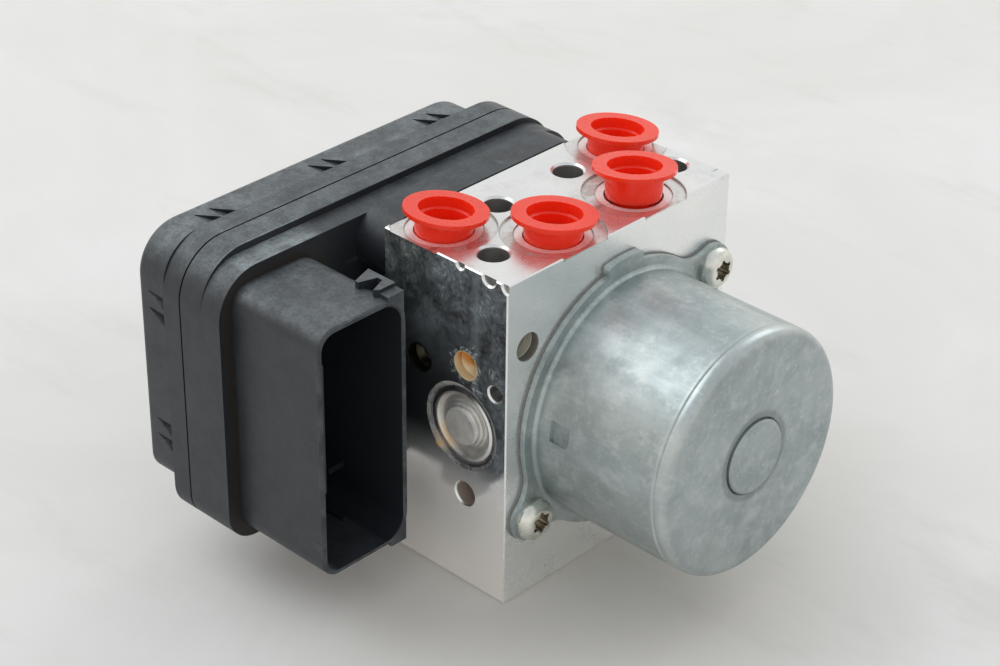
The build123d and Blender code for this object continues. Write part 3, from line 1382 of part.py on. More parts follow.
# ================================================================ transport plugs
def port_plug(index):
    """Soft plug pushed into one port: wide flange, stepped cup and tapered tip."""
    x, y = PORTS[index]
    neck = PLUG_HEIGHT - PLUG_FLANGE_THICKNESS
    cup = PLUG_NECK_RADIUS - PLUG_WALL
    ledge = cup - PLUG_STEP
    tip = PLUG_TIP_TOP_RADIUS - PLUG_WALL
    profile = [
        (0, -PLUG_TIP_LENGTH),
        (PLUG_TIP_RADIUS, -PLUG_TIP_LENGTH),
        (PLUG_TIP_TOP_RADIUS, 0),
        (PLUG_FOOT_RADIUS, 0),
        (PLUG_NECK_RADIUS, neck),
        (PLUG_FLANGE_RADIUS, neck),
        (PLUG_FLANGE_RADIUS, PLUG_HEIGHT),
        (cup, PLUG_HEIGHT),
        (cup - PLUG_DRAFT, PLUG_HEIGHT - PLUG_STEP_DEPTH),
        (ledge, PLUG_HEIGHT - PLUG_STEP_DEPTH - PLUG_STEP / 2),
        (ledge - PLUG_DRAFT, PLUG_STEP_DEPTH),
        (tip, PLUG_STEP_DEPTH - PLUG_STEP / 2),
        (tip - PLUG_DRAFT, PLUG_FLOOR - PLUG_TIP_LENGTH),
        (0, PLUG_FLOOR - PLUG_TIP_LENGTH),
    ]
    lean_x, lean_y = PLUG_LEANS[index]
    seat = Pos(x, y, SEAT_Z + PLUG_STANDS[index] - PLUG_HEIGHT)
    swing = Pos(0, 0, PLUG_HEIGHT - PLUG_STANDS[index])
    back = Pos(0, 0, PLUG_STANDS[index] - PLUG_HEIGHT)
    return seat * swing * Rot(lean_x, lean_y, 0) * back * turned(profile, (0, 0, 0), (0, 0, 1))


# ================================================================ sub-parts
def build():
    """Write every sub-part."""
    os.makedirs("parts", exist_ok=True)
    save("hydraulic_block", hydraulic_block())
    save("sealing_balls", sealing_balls())
    save("motor_can", motor_can())
    save("motor_gasket", motor_gasket())
    save("motor_screws", motor_screws())
    save("motor_magnets", motor_magnets())
    save("rotor_shaft", rotor_shaft())
    save("eccentric_bearing", eccentric_bearing())
    save("armature_core", armature_core())
    save("armature_windings", armature_windings())
    save("commutator", commutator())
    save("rear_bearing", shaft_bearing(REAR_BEARING_RADIUS, REAR_BEARING_WIDTH, REAR_BEARING_Y))
    save("front_bearing", shaft_bearing(FRONT_BEARING_RADIUS, FRONT_BEARING_WIDTH, FRONT_BEARING_Y))
    save("brush_plate", brush_plate())
    save("carbon_brushes", Compound(children=brush_blocks(0.0, 0.0)))
    save("motor_terminals", Compound(children=[terminal(side * TERMINAL_SPACING / 2) for side in (-1, 1)]))
    for side, word in ((-1, "left"), (1, "right")):
        save(f"pump_sleeve_{word}", pump_sleeve(side))
        save(f"pump_piston_{word}", pump_piston(side))
        save(f"pump_spring_{word}", pump_spring(side))
        save(f"pump_cap_{word}", pump_cap(side))
        save(f"reservoir_piston_{word}", reservoir_piston(side))
        save(f"reservoir_seal_{word}", reservoir_seal(side))
        save(f"reservoir_spring_{word}", reservoir_spring(side))
        save(f"reservoir_cap_{word}", reservoir_cap(side))
    save("inlet_valves", valves(INLET_ROW))
    save("outlet_valves", valves(OUTLET_ROW))
    save("solenoid_coils", solenoid_coils())
    save("controller_housing", controller_housing())
    save("housing_seal", seal_ring(0.0))
    save("connector_pins", Compound(children=pins()))
    save("circuit_board", circuit_board())
    save("controller_screws", controller_screws())
    save("controller_cover", controller_cover())
    for index in range(len(PORTS)):
        save(f"port_plug_{index + 1}", port_plug(index))


build()
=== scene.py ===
import bpy
import math
from mathutils import Matrix, Vector


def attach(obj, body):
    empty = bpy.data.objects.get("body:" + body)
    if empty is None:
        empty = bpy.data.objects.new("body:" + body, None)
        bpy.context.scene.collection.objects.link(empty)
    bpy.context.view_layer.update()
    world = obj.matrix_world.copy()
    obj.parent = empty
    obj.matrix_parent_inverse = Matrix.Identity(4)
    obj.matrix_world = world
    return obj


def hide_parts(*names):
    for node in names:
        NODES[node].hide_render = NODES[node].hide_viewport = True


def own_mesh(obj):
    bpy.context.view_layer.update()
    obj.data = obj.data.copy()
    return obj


# Looks of the anti-lock brake module.  Places, radii and levels in the materials are in
# millimetres, in the frame of part.py: +Z up, the motor along -Y, the connector towards -X.

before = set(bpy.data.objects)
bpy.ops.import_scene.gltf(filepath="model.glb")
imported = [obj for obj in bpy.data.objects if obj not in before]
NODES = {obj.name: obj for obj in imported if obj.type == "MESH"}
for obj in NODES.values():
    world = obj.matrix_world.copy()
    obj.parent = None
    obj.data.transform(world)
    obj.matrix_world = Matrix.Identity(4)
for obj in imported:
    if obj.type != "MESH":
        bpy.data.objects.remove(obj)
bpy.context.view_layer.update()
MM = 0.001


# ------------------------------------------------------------------ camera
CAMERA_AZIMUTH = -46.38
CAMERA_ELEVATION = 31.09
CAMERA_ROLL = 0.70
CAMERA_PLACE = (-378.63, -342.43, 356.31)
CAMERA_LENS = 92.09
SENSOR_WIDTH = 36
CLIP_START = 0.01


def add_camera():
    """Long lens, looking down on the corner between the connector side and the motor."""
    azimuth = math.radians(CAMERA_AZIMUTH)
    elevation = math.radians(CAMERA_ELEVATION)
    roll = math.radians(CAMERA_ROLL)
    back = Vector((
        math.sin(azimuth) * math.cos(elevation),
        -math.cos(azimuth) * math.cos(elevation),
        math.sin(elevation),
    ))
    right = Vector((math.cos(azimuth), math.sin(azimuth), 0))
    up = back.cross(right)
    rolled_right = right * math.cos(roll) + up * math.sin(roll)
    rolled_up = up * math.cos(roll) - right * math.sin(roll)
    data = bpy.data.cameras.new("camera")
    data.lens = CAMERA_LENS
    data.sensor_width = SENSOR_WIDTH
    data.clip_start = CLIP_START
    camera = bpy.data.objects.new("camera", data)
    bpy.context.scene.collection.objects.link(camera)
    turn = Matrix((rolled_right, rolled_up, back)).transposed().to_4x4()
    camera.matrix_world = Matrix.Translation(Vector(CAMERA_PLACE) * MM) @ turn
    bpy.context.scene.camera = camera


# ------------------------------------------------------------------ shader building
# the axes that count when a distance is measured in a plane
IN_XY = (1, 1, 0)
IN_XZ = (1, 0, 1)
IN_YZ = (0, 1, 1)


class Shader:
    """Adds and links the shader nodes of one material."""

    def __init__(self, name):
        self.material = bpy.data.materials.new(name)
        self.material.use_nodes = True
        self.tree = self.material.node_tree
        self.bsdf = self.tree.nodes["Principled BSDF"]
        self.coords = self.tree.nodes.new("ShaderNodeTexCoord")

    def set(self, **values):
        """Constant values of the surface shader."""
        for key, value in values.items():
            self.bsdf.inputs[key.replace("_", " ")].default_value = value

    def put(self, value, socket):
        """Link a socket, or set a plain value."""
        if hasattr(value, "links"):
            self.tree.links.new(value, socket)
        elif isinstance(value, tuple) and len(value) == 3 and socket.type == "RGBA":
            socket.default_value = (*value, 1)
        else:
            socket.default_value = value

    def feed(self, **values):
        """Textured values of the surface shader."""
        for key, value in values.items():
            self.put(value, self.bsdf.inputs[key.replace("_", " ")])

    # textures
    def place(self, scale=(1, 1, 1), turn=(0, 0, 0), shift=(0, 0, 0)):
        """Object coordinates, scaled, turned and shifted."""
        node = self.tree.nodes.new("ShaderNodeMapping")
        node.inputs["Scale"].default_value = scale
        node.inputs["Rotation"].default_value = [math.radians(a) for a in turn]
        node.inputs["Location"].default_value = shift
        self.tree.links.new(self.coords.outputs["Object"], node.inputs["Vector"])
        return node.outputs["Vector"]

    def noise(self, scale, detail=4.0, roughness=0.55, vector=None, distortion=0.0):
        node = self.tree.nodes.new("ShaderNodeTexNoise")
        node.inputs["Scale"].default_value = scale
        node.inputs["Detail"].default_value = detail
        node.inputs["Roughness"].default_value = roughness
        node.inputs["Distortion"].default_value = distortion
        self.tree.links.new(vector or self.coords.outputs["Object"], node.inputs["Vector"])
        return node.outputs["Fac"]

    def cells(self, scale):
        """Distance from the middle of each cell of a loose pattern."""
        node = self.tree.nodes.new("ShaderNodeTexVoronoi")
        node.feature = "F1"
        node.inputs["Scale"].default_value = scale
        self.tree.links.new(self.coords.outputs["Object"], node.inputs["Vector"])
        return node.outputs["Distance"]

    def scratches(self, stretch, turn, scale=260, cut=0.70):
        """Sparse fine lines along one direction, in patches."""
        lines = self.noise(scale, 2, 0.5, self.place(stretch, turn))
        patches = self.noise(70, 3, 0.6, self.place(shift=(3, 1, 2)))
        return self.times(self.ramp(lines, cut, cut + 0.04), self.ramp(patches, 0.48, 0.62))

    def bump(self, height, strength, distance):
        node = self.tree.nodes.new("ShaderNodeBump")
        node.inputs["Strength"].default_value = strength
        node.inputs["Distance"].default_value = distance
        self.tree.links.new(height, node.inputs["Height"])
        return node.outputs["Normal"]

    # sums
    def math(self, operation, first, second=0.5, third=0.5):
        node = self.tree.nodes.new("ShaderNodeMath")
        node.operation = operation
        for value, socket in zip((first, second, third), node.inputs):
            self.put(value, socket)
        return node.outputs[0]

    def ramp(self, value, low, high, out_low=0.0, out_high=1.0):
        """Smooth step from one level to another."""
        node = self.tree.nodes.new("ShaderNodeMapRange")
        node.interpolation_type = "SMOOTHSTEP"
        self.put(value, node.inputs["Value"])
        node.inputs["From Min"].default_value = low
        node.inputs["From Max"].default_value = high
        node.inputs["To Min"].default_value = out_low
        node.inputs["To Max"].default_value = out_high
        return node.outputs["Result"]

    def mix(self, share, first, second):
        """Blend two colours."""
        node = self.tree.nodes.new("ShaderNodeMix")
        node.data_type = "RGBA"
        self.put(share, node.inputs["Factor"])
        self.put(first, node.inputs["A"])
        self.put(second, node.inputs["B"])
        return node.outputs["Result"]

    def times(self, *values):
        product = values[0]
        for value in values[1:]:
            product = self.math("MULTIPLY", product, value)
        return product

    def union(self, *values):
        joined = values[0]
        for value in values[1:]:
            joined = self.math("MAXIMUM", joined, value)
        return joined

    def flipped(self, value):
        return self.math("SUBTRACT", 1.0, value)

    def off(self, value, level):
        """How far a value is from a level, either way."""
        return self.math("ABSOLUTE", self.math("SUBTRACT", value, level))

    # masks by place
    def axis(self, source, letter):
        """One component of the object position or of the surface normal."""
        node = self.tree.nodes.new("ShaderNodeSeparateXYZ")
        self.tree.links.new(self.coords.outputs[source], node.inputs[0])
        return node.outputs[letter]

    def level(self, letter, start, end):
        """Mask along one axis of the object: 0 at start, 1 at end."""
        return self.ramp(self.axis("Object", letter), start * MM, end * MM)

    def skin(self, letter, half, start, end):
        """Mask of the skin of both sides, half a width from the middle: depths at 0 and at 1."""
        return self.union(
            self.level(letter, start - half, end - half),
            self.level(letter, half - start, half - end),
        )

    def distance(self, point, keep=(1, 1, 1)):
        """Distance from a point, along the kept axes only."""
        flat = self.tree.nodes.new("ShaderNodeVectorMath")
        flat.operation = "MULTIPLY"
        self.tree.links.new(self.coords.outputs["Object"], flat.inputs[0])
        flat.inputs[1].default_value = keep
        away = self.tree.nodes.new("ShaderNodeVectorMath")
        away.operation = "DISTANCE"
        self.tree.links.new(flat.outputs["Vector"], away.inputs[0])
        away.inputs[1].default_value = [p * k * MM for p, k in zip(point, keep)]
        return away.outputs["Value"]

    def near(self, point, inner, outer, keep=(1, 1, 1), ragged=0.0):
        """Mask that is 1 within the inner radius and 0 beyond the outer one."""
        away = self.distance(point, keep)
        if ragged:
            wobble = self.math("SUBTRACT", self.noise(500, 4, 0.7), 0.5)
            away = self.math("MULTIPLY_ADD", wobble, ragged * MM, away)
        return self.ramp(away, outer * MM, inner * MM)

    def rounded_box(self, centre, half, corner):
        """Mask that is 1 inside a rounded rectangle of the XZ plane."""
        beyond = []
        for letter, middle, reach in zip("XZ", centre, half):
            off = self.off(self.axis("Object", letter), middle * MM)
            off = self.math("MAXIMUM", self.math("SUBTRACT", off, (reach - corner) * MM), 0.0)
            beyond.append(self.math("MULTIPLY", off, off))
        away = self.math("SQRT", self.math("ADD", *beyond))
        return self.ramp(away, (corner + 0.05) * MM, (corner - 0.15) * MM)


def dress(material, *names):
    """Give CAD nodes a material."""
    for name in names:
        for slot in NODES[name].material_slots:
            slot.material = material


# ------------------------------------------------------------------ hydraulic block
BLOCK_X = 37
BLOCK_Y = 19
BLOCK_TOP = 84
# depth of the skin that is a face, and of the skin that is outside every bore
FACE_BAND = 0.05
RIM_BAND = 0.45
RIM_FADE = 0.05
# the top face counts down to the port seats, which lie a little lower
TOP_FACE_START = BLOCK_TOP - 0.9
TOP_FACE_END = BLOCK_TOP - 0.8

PORTS = ((-12.3, -9.2), (14.5, -9.2), (-27.4, 9.8), (29.6, 9.8))
SEAT_RADIUS = 8.9
SPOTFACE_RADIUS = 12
PORT_MOUTH_RADIUS = 7.1
GOLD_BALL = (-37, -6.6, 58.9)
DARK_BALL = (-37, 7.8, 54.9)
FRONT_BALL = (-30.4, -19, 66.3)
SIDE_SEAT_RADIUS = 3.55
FRONT_SEAT_RADIUS = 3.3
BRACKET_HOLE = (-37, -6.4, 24.7)
BRACKET_HOLE_RADIUS = 4.0
# the pump caps and the motor share one height
CAP_CENTRE = (0, -5.2, 42.4)
CAP_MOUTH_RADIUS = 11.3

# crusts on the left face: place, full radius, end radius and raggedness
CRUSTS = (
    (GOLD_BALL, 3.9, 6.0, 3.0),
    ((-37, -9.5, 52.5), 1.5, 3.5, 3.0),
    ((-37, -9.0, 64.0), 0.8, 2.2, 2.0),
)
FAINT_CRUST = (-37, -15.4, 60.0)
ORANGE_STAIN = (-33.4, -5.0, 60.2)
# a painted amber glint in the mouth round the left pump cap: its spot and its halo
PAINTED_GLINT_DROP = (-37, 2.3, 34.1)
PAINTED_GLINT_HALO = (-37, 1.4, 35.6)

METAL_DULL, METAL_BRIGHT = (0.78, 0.79, 0.785), (0.87, 0.87, 0.86)
FRONT_DULL, FRONT_BRIGHT = (0.90, 0.92, 0.91), (0.97, 0.97, 0.96)
POLISHED, POLISHED_HAZY = (0.86, 0.89, 0.90), (0.60, 0.76, 0.88)
POLISHED_BACK = (0.74, 0.83, 0.81)
# paler foot of the sides: haze, and a painted reflection of the floor
FOOT_PAINTED_REFLECTION_DULL, FOOT_PAINTED_REFLECTION_BRIGHT = (0.95, 0.93, 0.90), (1.0, 0.98, 0.955)
CRUST_COLOUR = (0.86, 0.88, 0.88)
SEAT_COLOUR = (0.96, 0.93, 0.92)
RING_COLOUR = (0.54, 0.53, 0.50)
SMUDGE_COLOUR = (0.50, 0.46, 0.40)
OUTLINE_COLOUR = (0.25, 0.24, 0.22)
DIRT_COLOUR = (0.34, 0.29, 0.23)
SCUFF_COLOUR = (0.28, 0.28, 0.27)
# painted shade inside the bores
BORE_PAINTED_SHADE = (0.34, 0.33, 0.31)
# colour of the painted edge highlight
PAINTED_EDGE_COLOUR = (0.94, 0.94, 0.93)
GOLD_SEAT_COLOUR, ORANGE_COLOUR = (0.86, 0.74, 0.48), (0.66, 0.29, 0.07)
DARK_SEAT_COLOUR = (0.055, 0.048, 0.034)
FRONT_SEAT_COLOUR = (0.24, 0.235, 0.18)
# the bracket hole's own brown tint, made pale as painted light inside it
BRACKET_HOLE_TINT_AND_LIGHT = (0.58, 0.49, 0.42)
# colour of the painted amber glint
PAINTED_GLINT_COLOUR = (1.0, 0.62, 0.20)


def side_film(s, high, low, haze):
    """Film on the polished sides: cloudy haze, specks, fine scratches, a few drying rings, and a
    pale veil low down that is partly haze, partly a painted reflection of the floor.
    """
    outer = s.level("Y", -4, -16)
    ring_line = s.ramp(s.off(s.cells(135), 0.34), 0.03, 0.0)
    ring_patches = s.ramp(s.noise(60, 2, 0.5, s.place(shift=(5, 5, 5))), 0.55, 0.62)
    rings = s.times(ring_line, ring_patches)
    specks = s.times(s.ramp(s.noise(1100, 3, 0.7), 0.64, 0.74), s.union(high, outer))
    lines = s.scratches((1, 0.35, 0.02), (8, 0, 0))
    depth = s.math("MULTIPLY_ADD", s.union(high, s.times(outer, 0.8)), 0.34, 0.02)
    return s.union(
        s.math("MULTIPLY_ADD", haze, depth, 0.012),
        s.times(rings, high, 0.16),
        s.times(specks, 0.30),
        s.times(lines, 0.30),
        # pale veil low down: haze, and a painted reflection of the floor
        s.times(low, 0.46),
    )


def polished_sides(s, side_x, bright, gold_seat, tone, rough):
    """Left and right faces, paler low down: partly haze, partly a painted reflection of the bright
    floor. Gives the tone, the roughness and the film.
    """
    haze = s.times(
        s.ramp(s.noise(105, 8, 0.80), 0.36, 0.66, 0.15, 1.0),
        s.ramp(s.noise(900, 3, 0.75), 0.30, 0.70, 0.35, 1.0),
    )
    high = s.level("Z", 48, 78)
    low = s.level("Z", 40, 25)
    spots = [s.near(place, inner, outer, ragged=ragged) for place, inner, outer, ragged in CRUSTS]
    crust = s.times(
        s.union(*spots, s.times(s.near(FAINT_CRUST, 1.5, 3.2, ragged=3.0), 0.7)),
        s.flipped(gold_seat),
        s.ramp(s.noise(900, 6, 0.80), 0.44, 0.64),
    )
    film = s.times(side_x, s.union(side_film(s, high, low, haze), s.times(crust, 0.50)))
    polished = s.mix(haze, POLISHED, POLISHED_HAZY)
    polished = s.mix(s.times(high, s.level("Y", -2, 14)), polished, POLISHED_BACK)
    # the sides are paler low down: haze, and a painted reflection of the floor
    polished = s.mix(low, polished, s.mix(bright, FOOT_PAINTED_REFLECTION_DULL, FOOT_PAINTED_REFLECTION_BRIGHT))
    tone = s.mix(side_x, tone, s.mix(crust, polished, CRUST_COLOUR))
    change = s.math("SUBTRACT", s.ramp(haze, 0, 1, 0.09, 0.18), rough)
    return tone, s.math("MULTIPLY_ADD", side_x, change, rough), film


def port_marks(s, top, tone):
    """Port seats are paler discs, with dirt in the ring round each; the top has smudges and scuffs.

    Gives the tone and the masks of the seats, the dirt and the smudges.
    """
    seat = s.union(*[s.near((x, y, 0), SEAT_RADIUS - 0.3, SEAT_RADIUS, IN_XY) for x, y in PORTS])
    face = s.union(*[
        s.near((x, y, 0), SPOTFACE_RADIUS, SPOTFACE_RADIUS + 0.2, IN_XY) for x, y in PORTS
    ])
    outline = s.union(*[
        s.ramp(s.off(s.distance((x, y, 0), IN_XY), radius * MM), 0.22 * MM, 0.08 * MM)
        for x, y in PORTS for radius in (SEAT_RADIUS, SPOTFACE_RADIUS)
    ])
    seat = s.times(seat, top)
    ring = s.times(top, face, s.flipped(seat))
    dirt = s.times(ring, s.ramp(s.noise(150, 6, 0.75), 0.46, 0.66))
    scuffs = s.times(top, s.scratches((0.05, 0.6, 1), (0, 0, 35), 420, 0.63))
    smudges = s.times(top, s.ramp(s.noise(85, 7, 0.78, s.place(shift=(4, 9, 1))), 0.52, 0.66))
    tone = s.mix(s.times(ring, 0.30), tone, RING_COLOUR)
    tone = s.mix(s.times(smudges, 0.32), tone, SMUDGE_COLOUR)
    tone = s.mix(s.times(seat, 0.85), tone, SEAT_COLOUR)
    tone = s.mix(s.times(outline, face, top, 0.6), tone, OUTLINE_COLOUR)
    tone = s.mix(s.times(dirt, 0.6), tone, DIRT_COLOUR)
    tone = s.mix(s.times(scuffs, 0.65), tone, SCUFF_COLOUR)
    return tone, seat, dirt, smudges


def milled_aluminium():
    """Bright milled block: satin top and front, polished sides with a stained film, dull bores with
    painted shade, painted edge highlights and a painted amber glint.
    """
    s = Shader("milled_aluminium")
    side_x = s.skin("X", BLOCK_X, FACE_BAND, 0)
    front = s.skin("Y", BLOCK_Y, FACE_BAND, 0)
    top = s.level("Z", TOP_FACE_START, TOP_FACE_END)
    outside = s.union(
        s.skin("X", BLOCK_X, RIM_BAND, RIM_BAND - RIM_FADE),
        s.skin("Y", BLOCK_Y, RIM_BAND, RIM_BAND - RIM_FADE),
        s.level("Z", RIM_BAND, RIM_BAND - RIM_FADE),
        top,
    )
    flat = s.union(
        side_x,
        front,
        s.level("Z", BLOCK_TOP - 0.1, BLOCK_TOP),
        s.level("Z", FACE_BAND, 0),
    )
    # paler, partly diffuse bevels round the block: a painted edge highlight
    painted_edge_highlight = s.times(
        outside,
        s.flipped(flat),
        s.flipped(s.times(top, 0.85)),
        s.ramp(s.noise(500, 4, 0.75), 0.35, 0.60, 0.15, 1.0),
    )
    bright = s.ramp(s.noise(38, 4, 0.6), 0.3, 0.7)
    tone = s.mix(bright, METAL_DULL, METAL_BRIGHT)
    tone = s.mix(front, tone, s.mix(bright, FRONT_DULL, FRONT_BRIGHT))
    rough = s.ramp(s.noise(160, 3, 0.6), 0.3, 0.7, 0.25, 0.33)

    seat_depth = s.level("X", -30, -31)
    gold_seat, dark_seat = [
        s.times(s.near(ball, SIDE_SEAT_RADIUS, SIDE_SEAT_RADIUS + 0.2, IN_YZ), seat_depth)
        for ball in (GOLD_BALL, DARK_BALL)
    ]
    tone, rough, film = polished_sides(s, side_x, bright, gold_seat, tone, rough)
    tone, seat, dirt, smudges = port_marks(s, top, tone)

    # drilled bores are rougher and painted darker, as shade inside the holes
    port_mouth = s.union(*[
        s.near((x, y, 0), PORT_MOUTH_RADIUS, PORT_MOUTH_RADIUS + 0.2, IN_XY) for x, y in PORTS
    ])
    cap_mouth = s.near(CAP_CENTRE, CAP_MOUTH_RADIUS, CAP_MOUTH_RADIUS + 0.2, IN_YZ)
    bore = s.times(s.flipped(outside), s.flipped(port_mouth), s.flipped(cap_mouth))
    # the bracket hole keeps its brown tint and is painted pale and partly diffuse, as light inside
    # the hole
    bracket = s.times(
        bore,
        s.near(BRACKET_HOLE, BRACKET_HOLE_RADIUS, BRACKET_HOLE_RADIUS + 0.2, IN_YZ),
        s.level("X", -20, -22),
    )
    tone = s.mix(s.times(bore, 0.5), tone, BORE_PAINTED_SHADE)
    # painted edge highlight
    tone = s.mix(painted_edge_highlight, tone, PAINTED_EDGE_COLOUR)

    # the ball seats carry their stains, and the left cap's mouth a painted amber glint
    orange = s.near(ORANGE_STAIN, 2.2, 4.2, ragged=1.2)
    front_seat = s.times(
        s.near(FRONT_BALL, FRONT_SEAT_RADIUS, FRONT_SEAT_RADIUS + 0.3, IN_XZ),
        s.level("Y", -11, -12),
        s.level("Y", -BLOCK_Y, -BLOCK_Y + 0.4),
    )
    # painted amber glint in the mouth round the left pump cap, partly not metal
    painted_glint = s.times(
        s.union(
            s.near(PAINTED_GLINT_DROP, 0.4, 1.6, ragged=0.6),
            s.times(s.near(PAINTED_GLINT_HALO, 1.0, 4.0), 0.35),
        ),
        cap_mouth,
    )
    tone = s.mix(gold_seat, tone, s.mix(orange, GOLD_SEAT_COLOUR, ORANGE_COLOUR))
    tone = s.mix(dark_seat, tone, DARK_SEAT_COLOUR)
    tone = s.mix(front_seat, tone, FRONT_SEAT_COLOUR)
    tone = s.mix(bracket, tone, BRACKET_HOLE_TINT_AND_LIGHT)
    tone = s.mix(painted_glint, tone, PAINTED_GLINT_COLOUR)

    # what lies on the metal isn't metal; nor are the painted amber glint, the painted edge
    # highlight and the painted light in the bracket hole
    diffuse = s.union(
        film,
        s.times(seat, 0.45),
        s.times(gold_seat, 0.75),
        s.times(dirt, 0.5),
        s.times(painted_glint, 0.7),
        s.times(painted_edge_highlight, 0.25),
        s.times(front, 0.10),
        s.times(top, 0.12),
        s.times(bracket, 0.6),
        s.times(front_seat, 0.4),
        s.times(smudges, 0.15),
    )
    s.feed(
        Base_Color=tone,
        Roughness=s.math("MULTIPLY_ADD", s.union(bore, gold_seat), 0.12, rough),
        Metallic=s.flipped(diffuse),
        Normal=s.bump(s.noise(300, 1, 0.4), 0.012, 0.0002),
    )
    return s.material


# ------------------------------------------------------------------ motor can
CAN_AXIS = (0, 0, 42.4)
# the worn band runs round the closed end, and the moat round the raised boss
WORN_START = -54.6
WORN_END = -58.6
BOSS_RADIUS = 9.0
MOAT_RADIUS = 10.4
# middle of the painted highlight along the upper left of the can
PAINTED_HIGHLIGHT_LINE = (-22, 0, 62.6)

ZINC_DARK, ZINC_LIGHT = (0.345, 0.400, 0.405), (0.455, 0.512, 0.512)
ZINC_WIPED = (0.60, 0.65, 0.65)
ZINC_FLECK = (0.72, 0.75, 0.74)
ZINC_FROST = (0.66, 0.72, 0.73)
ZINC_PIT = (0.20, 0.21, 0.20)
ZINC_WORN = (0.66, 0.70, 0.69)
ZINC_SCRATCH = (0.80, 0.82, 0.80)
# colours of painted light: the highlight, the shade on the end face, the shade in the moat
ZINC_PAINTED_HIGHLIGHT = (0.78, 0.77, 0.73)
ZINC_END_PAINTED_SHADE = (0.26, 0.29, 0.30)
ZINC_MOAT_PAINTED_SHADE = (0.17, 0.19, 0.19)


def mottled_zinc():
    """Passivated zinc on drawn steel: grey-green clouds, a pale worn band round the end, a painted
    highlight along the upper left, painted shade on the end face and in the moat, axial wipe marks.
    """
    s = Shader("mottled_zinc")
    blotch = s.noise(75, 6, 0.68, distortion=0.5)
    fine = s.noise(650, 4, 0.65)
    wipes = s.noise(160, 4, 0.6, s.place((1, 0.10, 1)))
    frost = s.noise(260, 6, 0.78, s.place((1, 0.6, 1), shift=(6, 2, 9)))
    pits = s.noise(900, 3, 0.6, s.place((1, 0.5, 1), shift=(2, 7, 4)))
    worn = s.times(
        s.level("Y", WORN_START, WORN_START - 1),
        s.flipped(s.level("Y", WORN_END, WORN_END - 0.7)),
    )
    # painted highlight along the upper left of the can
    painted_highlight = s.times(
        s.near(PAINTED_HIGHLIGHT_LINE, 2, 12, IN_XZ),
        s.level("Y", -20, -30),
        s.level("Y", -54, -44),
        s.ramp(s.noise(190, 5, 0.7), 0.38, 0.66, 0.2, 1.0),
    )
    # the end face is painted darker, as shade
    end = s.level("Y", -58.0, -58.6)
    # the moat round the boss is painted dark, as shade in the groove
    painted_moat_shade = s.times(
        end,
        s.near(CAN_AXIS, MOAT_RADIUS, MOAT_RADIUS + 1.2, IN_XZ),
        s.flipped(s.near(CAN_AXIS, BOSS_RADIUS, BOSS_RADIUS + 0.3, IN_XZ)),
    )
    tone = s.mix(s.ramp(blotch, 0.35, 0.65), ZINC_DARK, ZINC_LIGHT)
    for share, colour in (
        (s.times(s.ramp(wipes, 0.50, 0.72), 0.45), ZINC_WIPED),
        (s.times(s.ramp(fine, 0.54, 0.72), 0.30), ZINC_FLECK),
        (s.times(s.ramp(frost, 0.50, 0.64), 0.30), ZINC_FROST),
        (s.times(s.ramp(pits, 0.70, 0.76), 0.5), ZINC_PIT),
        (s.times(worn, 0.35), ZINC_WORN),
        (s.times(s.scratches((1, 0.02, 1), (0, 0, 0), 330, 0.71), 0.5), ZINC_SCRATCH),
        # painted highlight
        (s.times(painted_highlight, 0.30), ZINC_PAINTED_HIGHLIGHT),
        # painted shade on the end face
        (s.times(end, 0.16), ZINC_END_PAINTED_SHADE),
        # painted shade in the moat
        (s.times(painted_moat_shade, 0.5), ZINC_MOAT_PAINTED_SHADE),
    ):
        tone = s.mix(share, tone, colour)
    s.set(Metallic=0.85)
    s.feed(
        Base_Color=tone,
        Roughness=s.math("SUBTRACT", s.ramp(blotch, 0.3, 0.7, 0.46, 0.36), s.times(worn, 0.08)),
        Normal=s.bump(fine, 0.10, 0.0002),
    )
    return s.material


# ------------------------------------------------------------------ controller
# the connector shroud in the XZ plane: its middle, its hollow, and the darker band round its root
SHROUD_CENTRE = (-60.8, 46.9)
HOLLOW_HALF = (11.8, 30.8)
HOLLOW_CORNER = 4.2
ROOT_DARK_HALF = (15.6, 34.4)
ROOT_DARK_CORNER = 8
# places along Y: the pan's face, the step in its top, and the deep part of the cover
PAN_FACE = 28.8
PAN_STEP = 35
COVER_START = 47.6

PLASTIC_BLACK = (0.0122, 0.0152, 0.0205)
PLASTIC_DUST = (0.25, 0.285, 0.295)
PLASTIC_ROOT_DARK = (0.021, 0.017, 0.014)


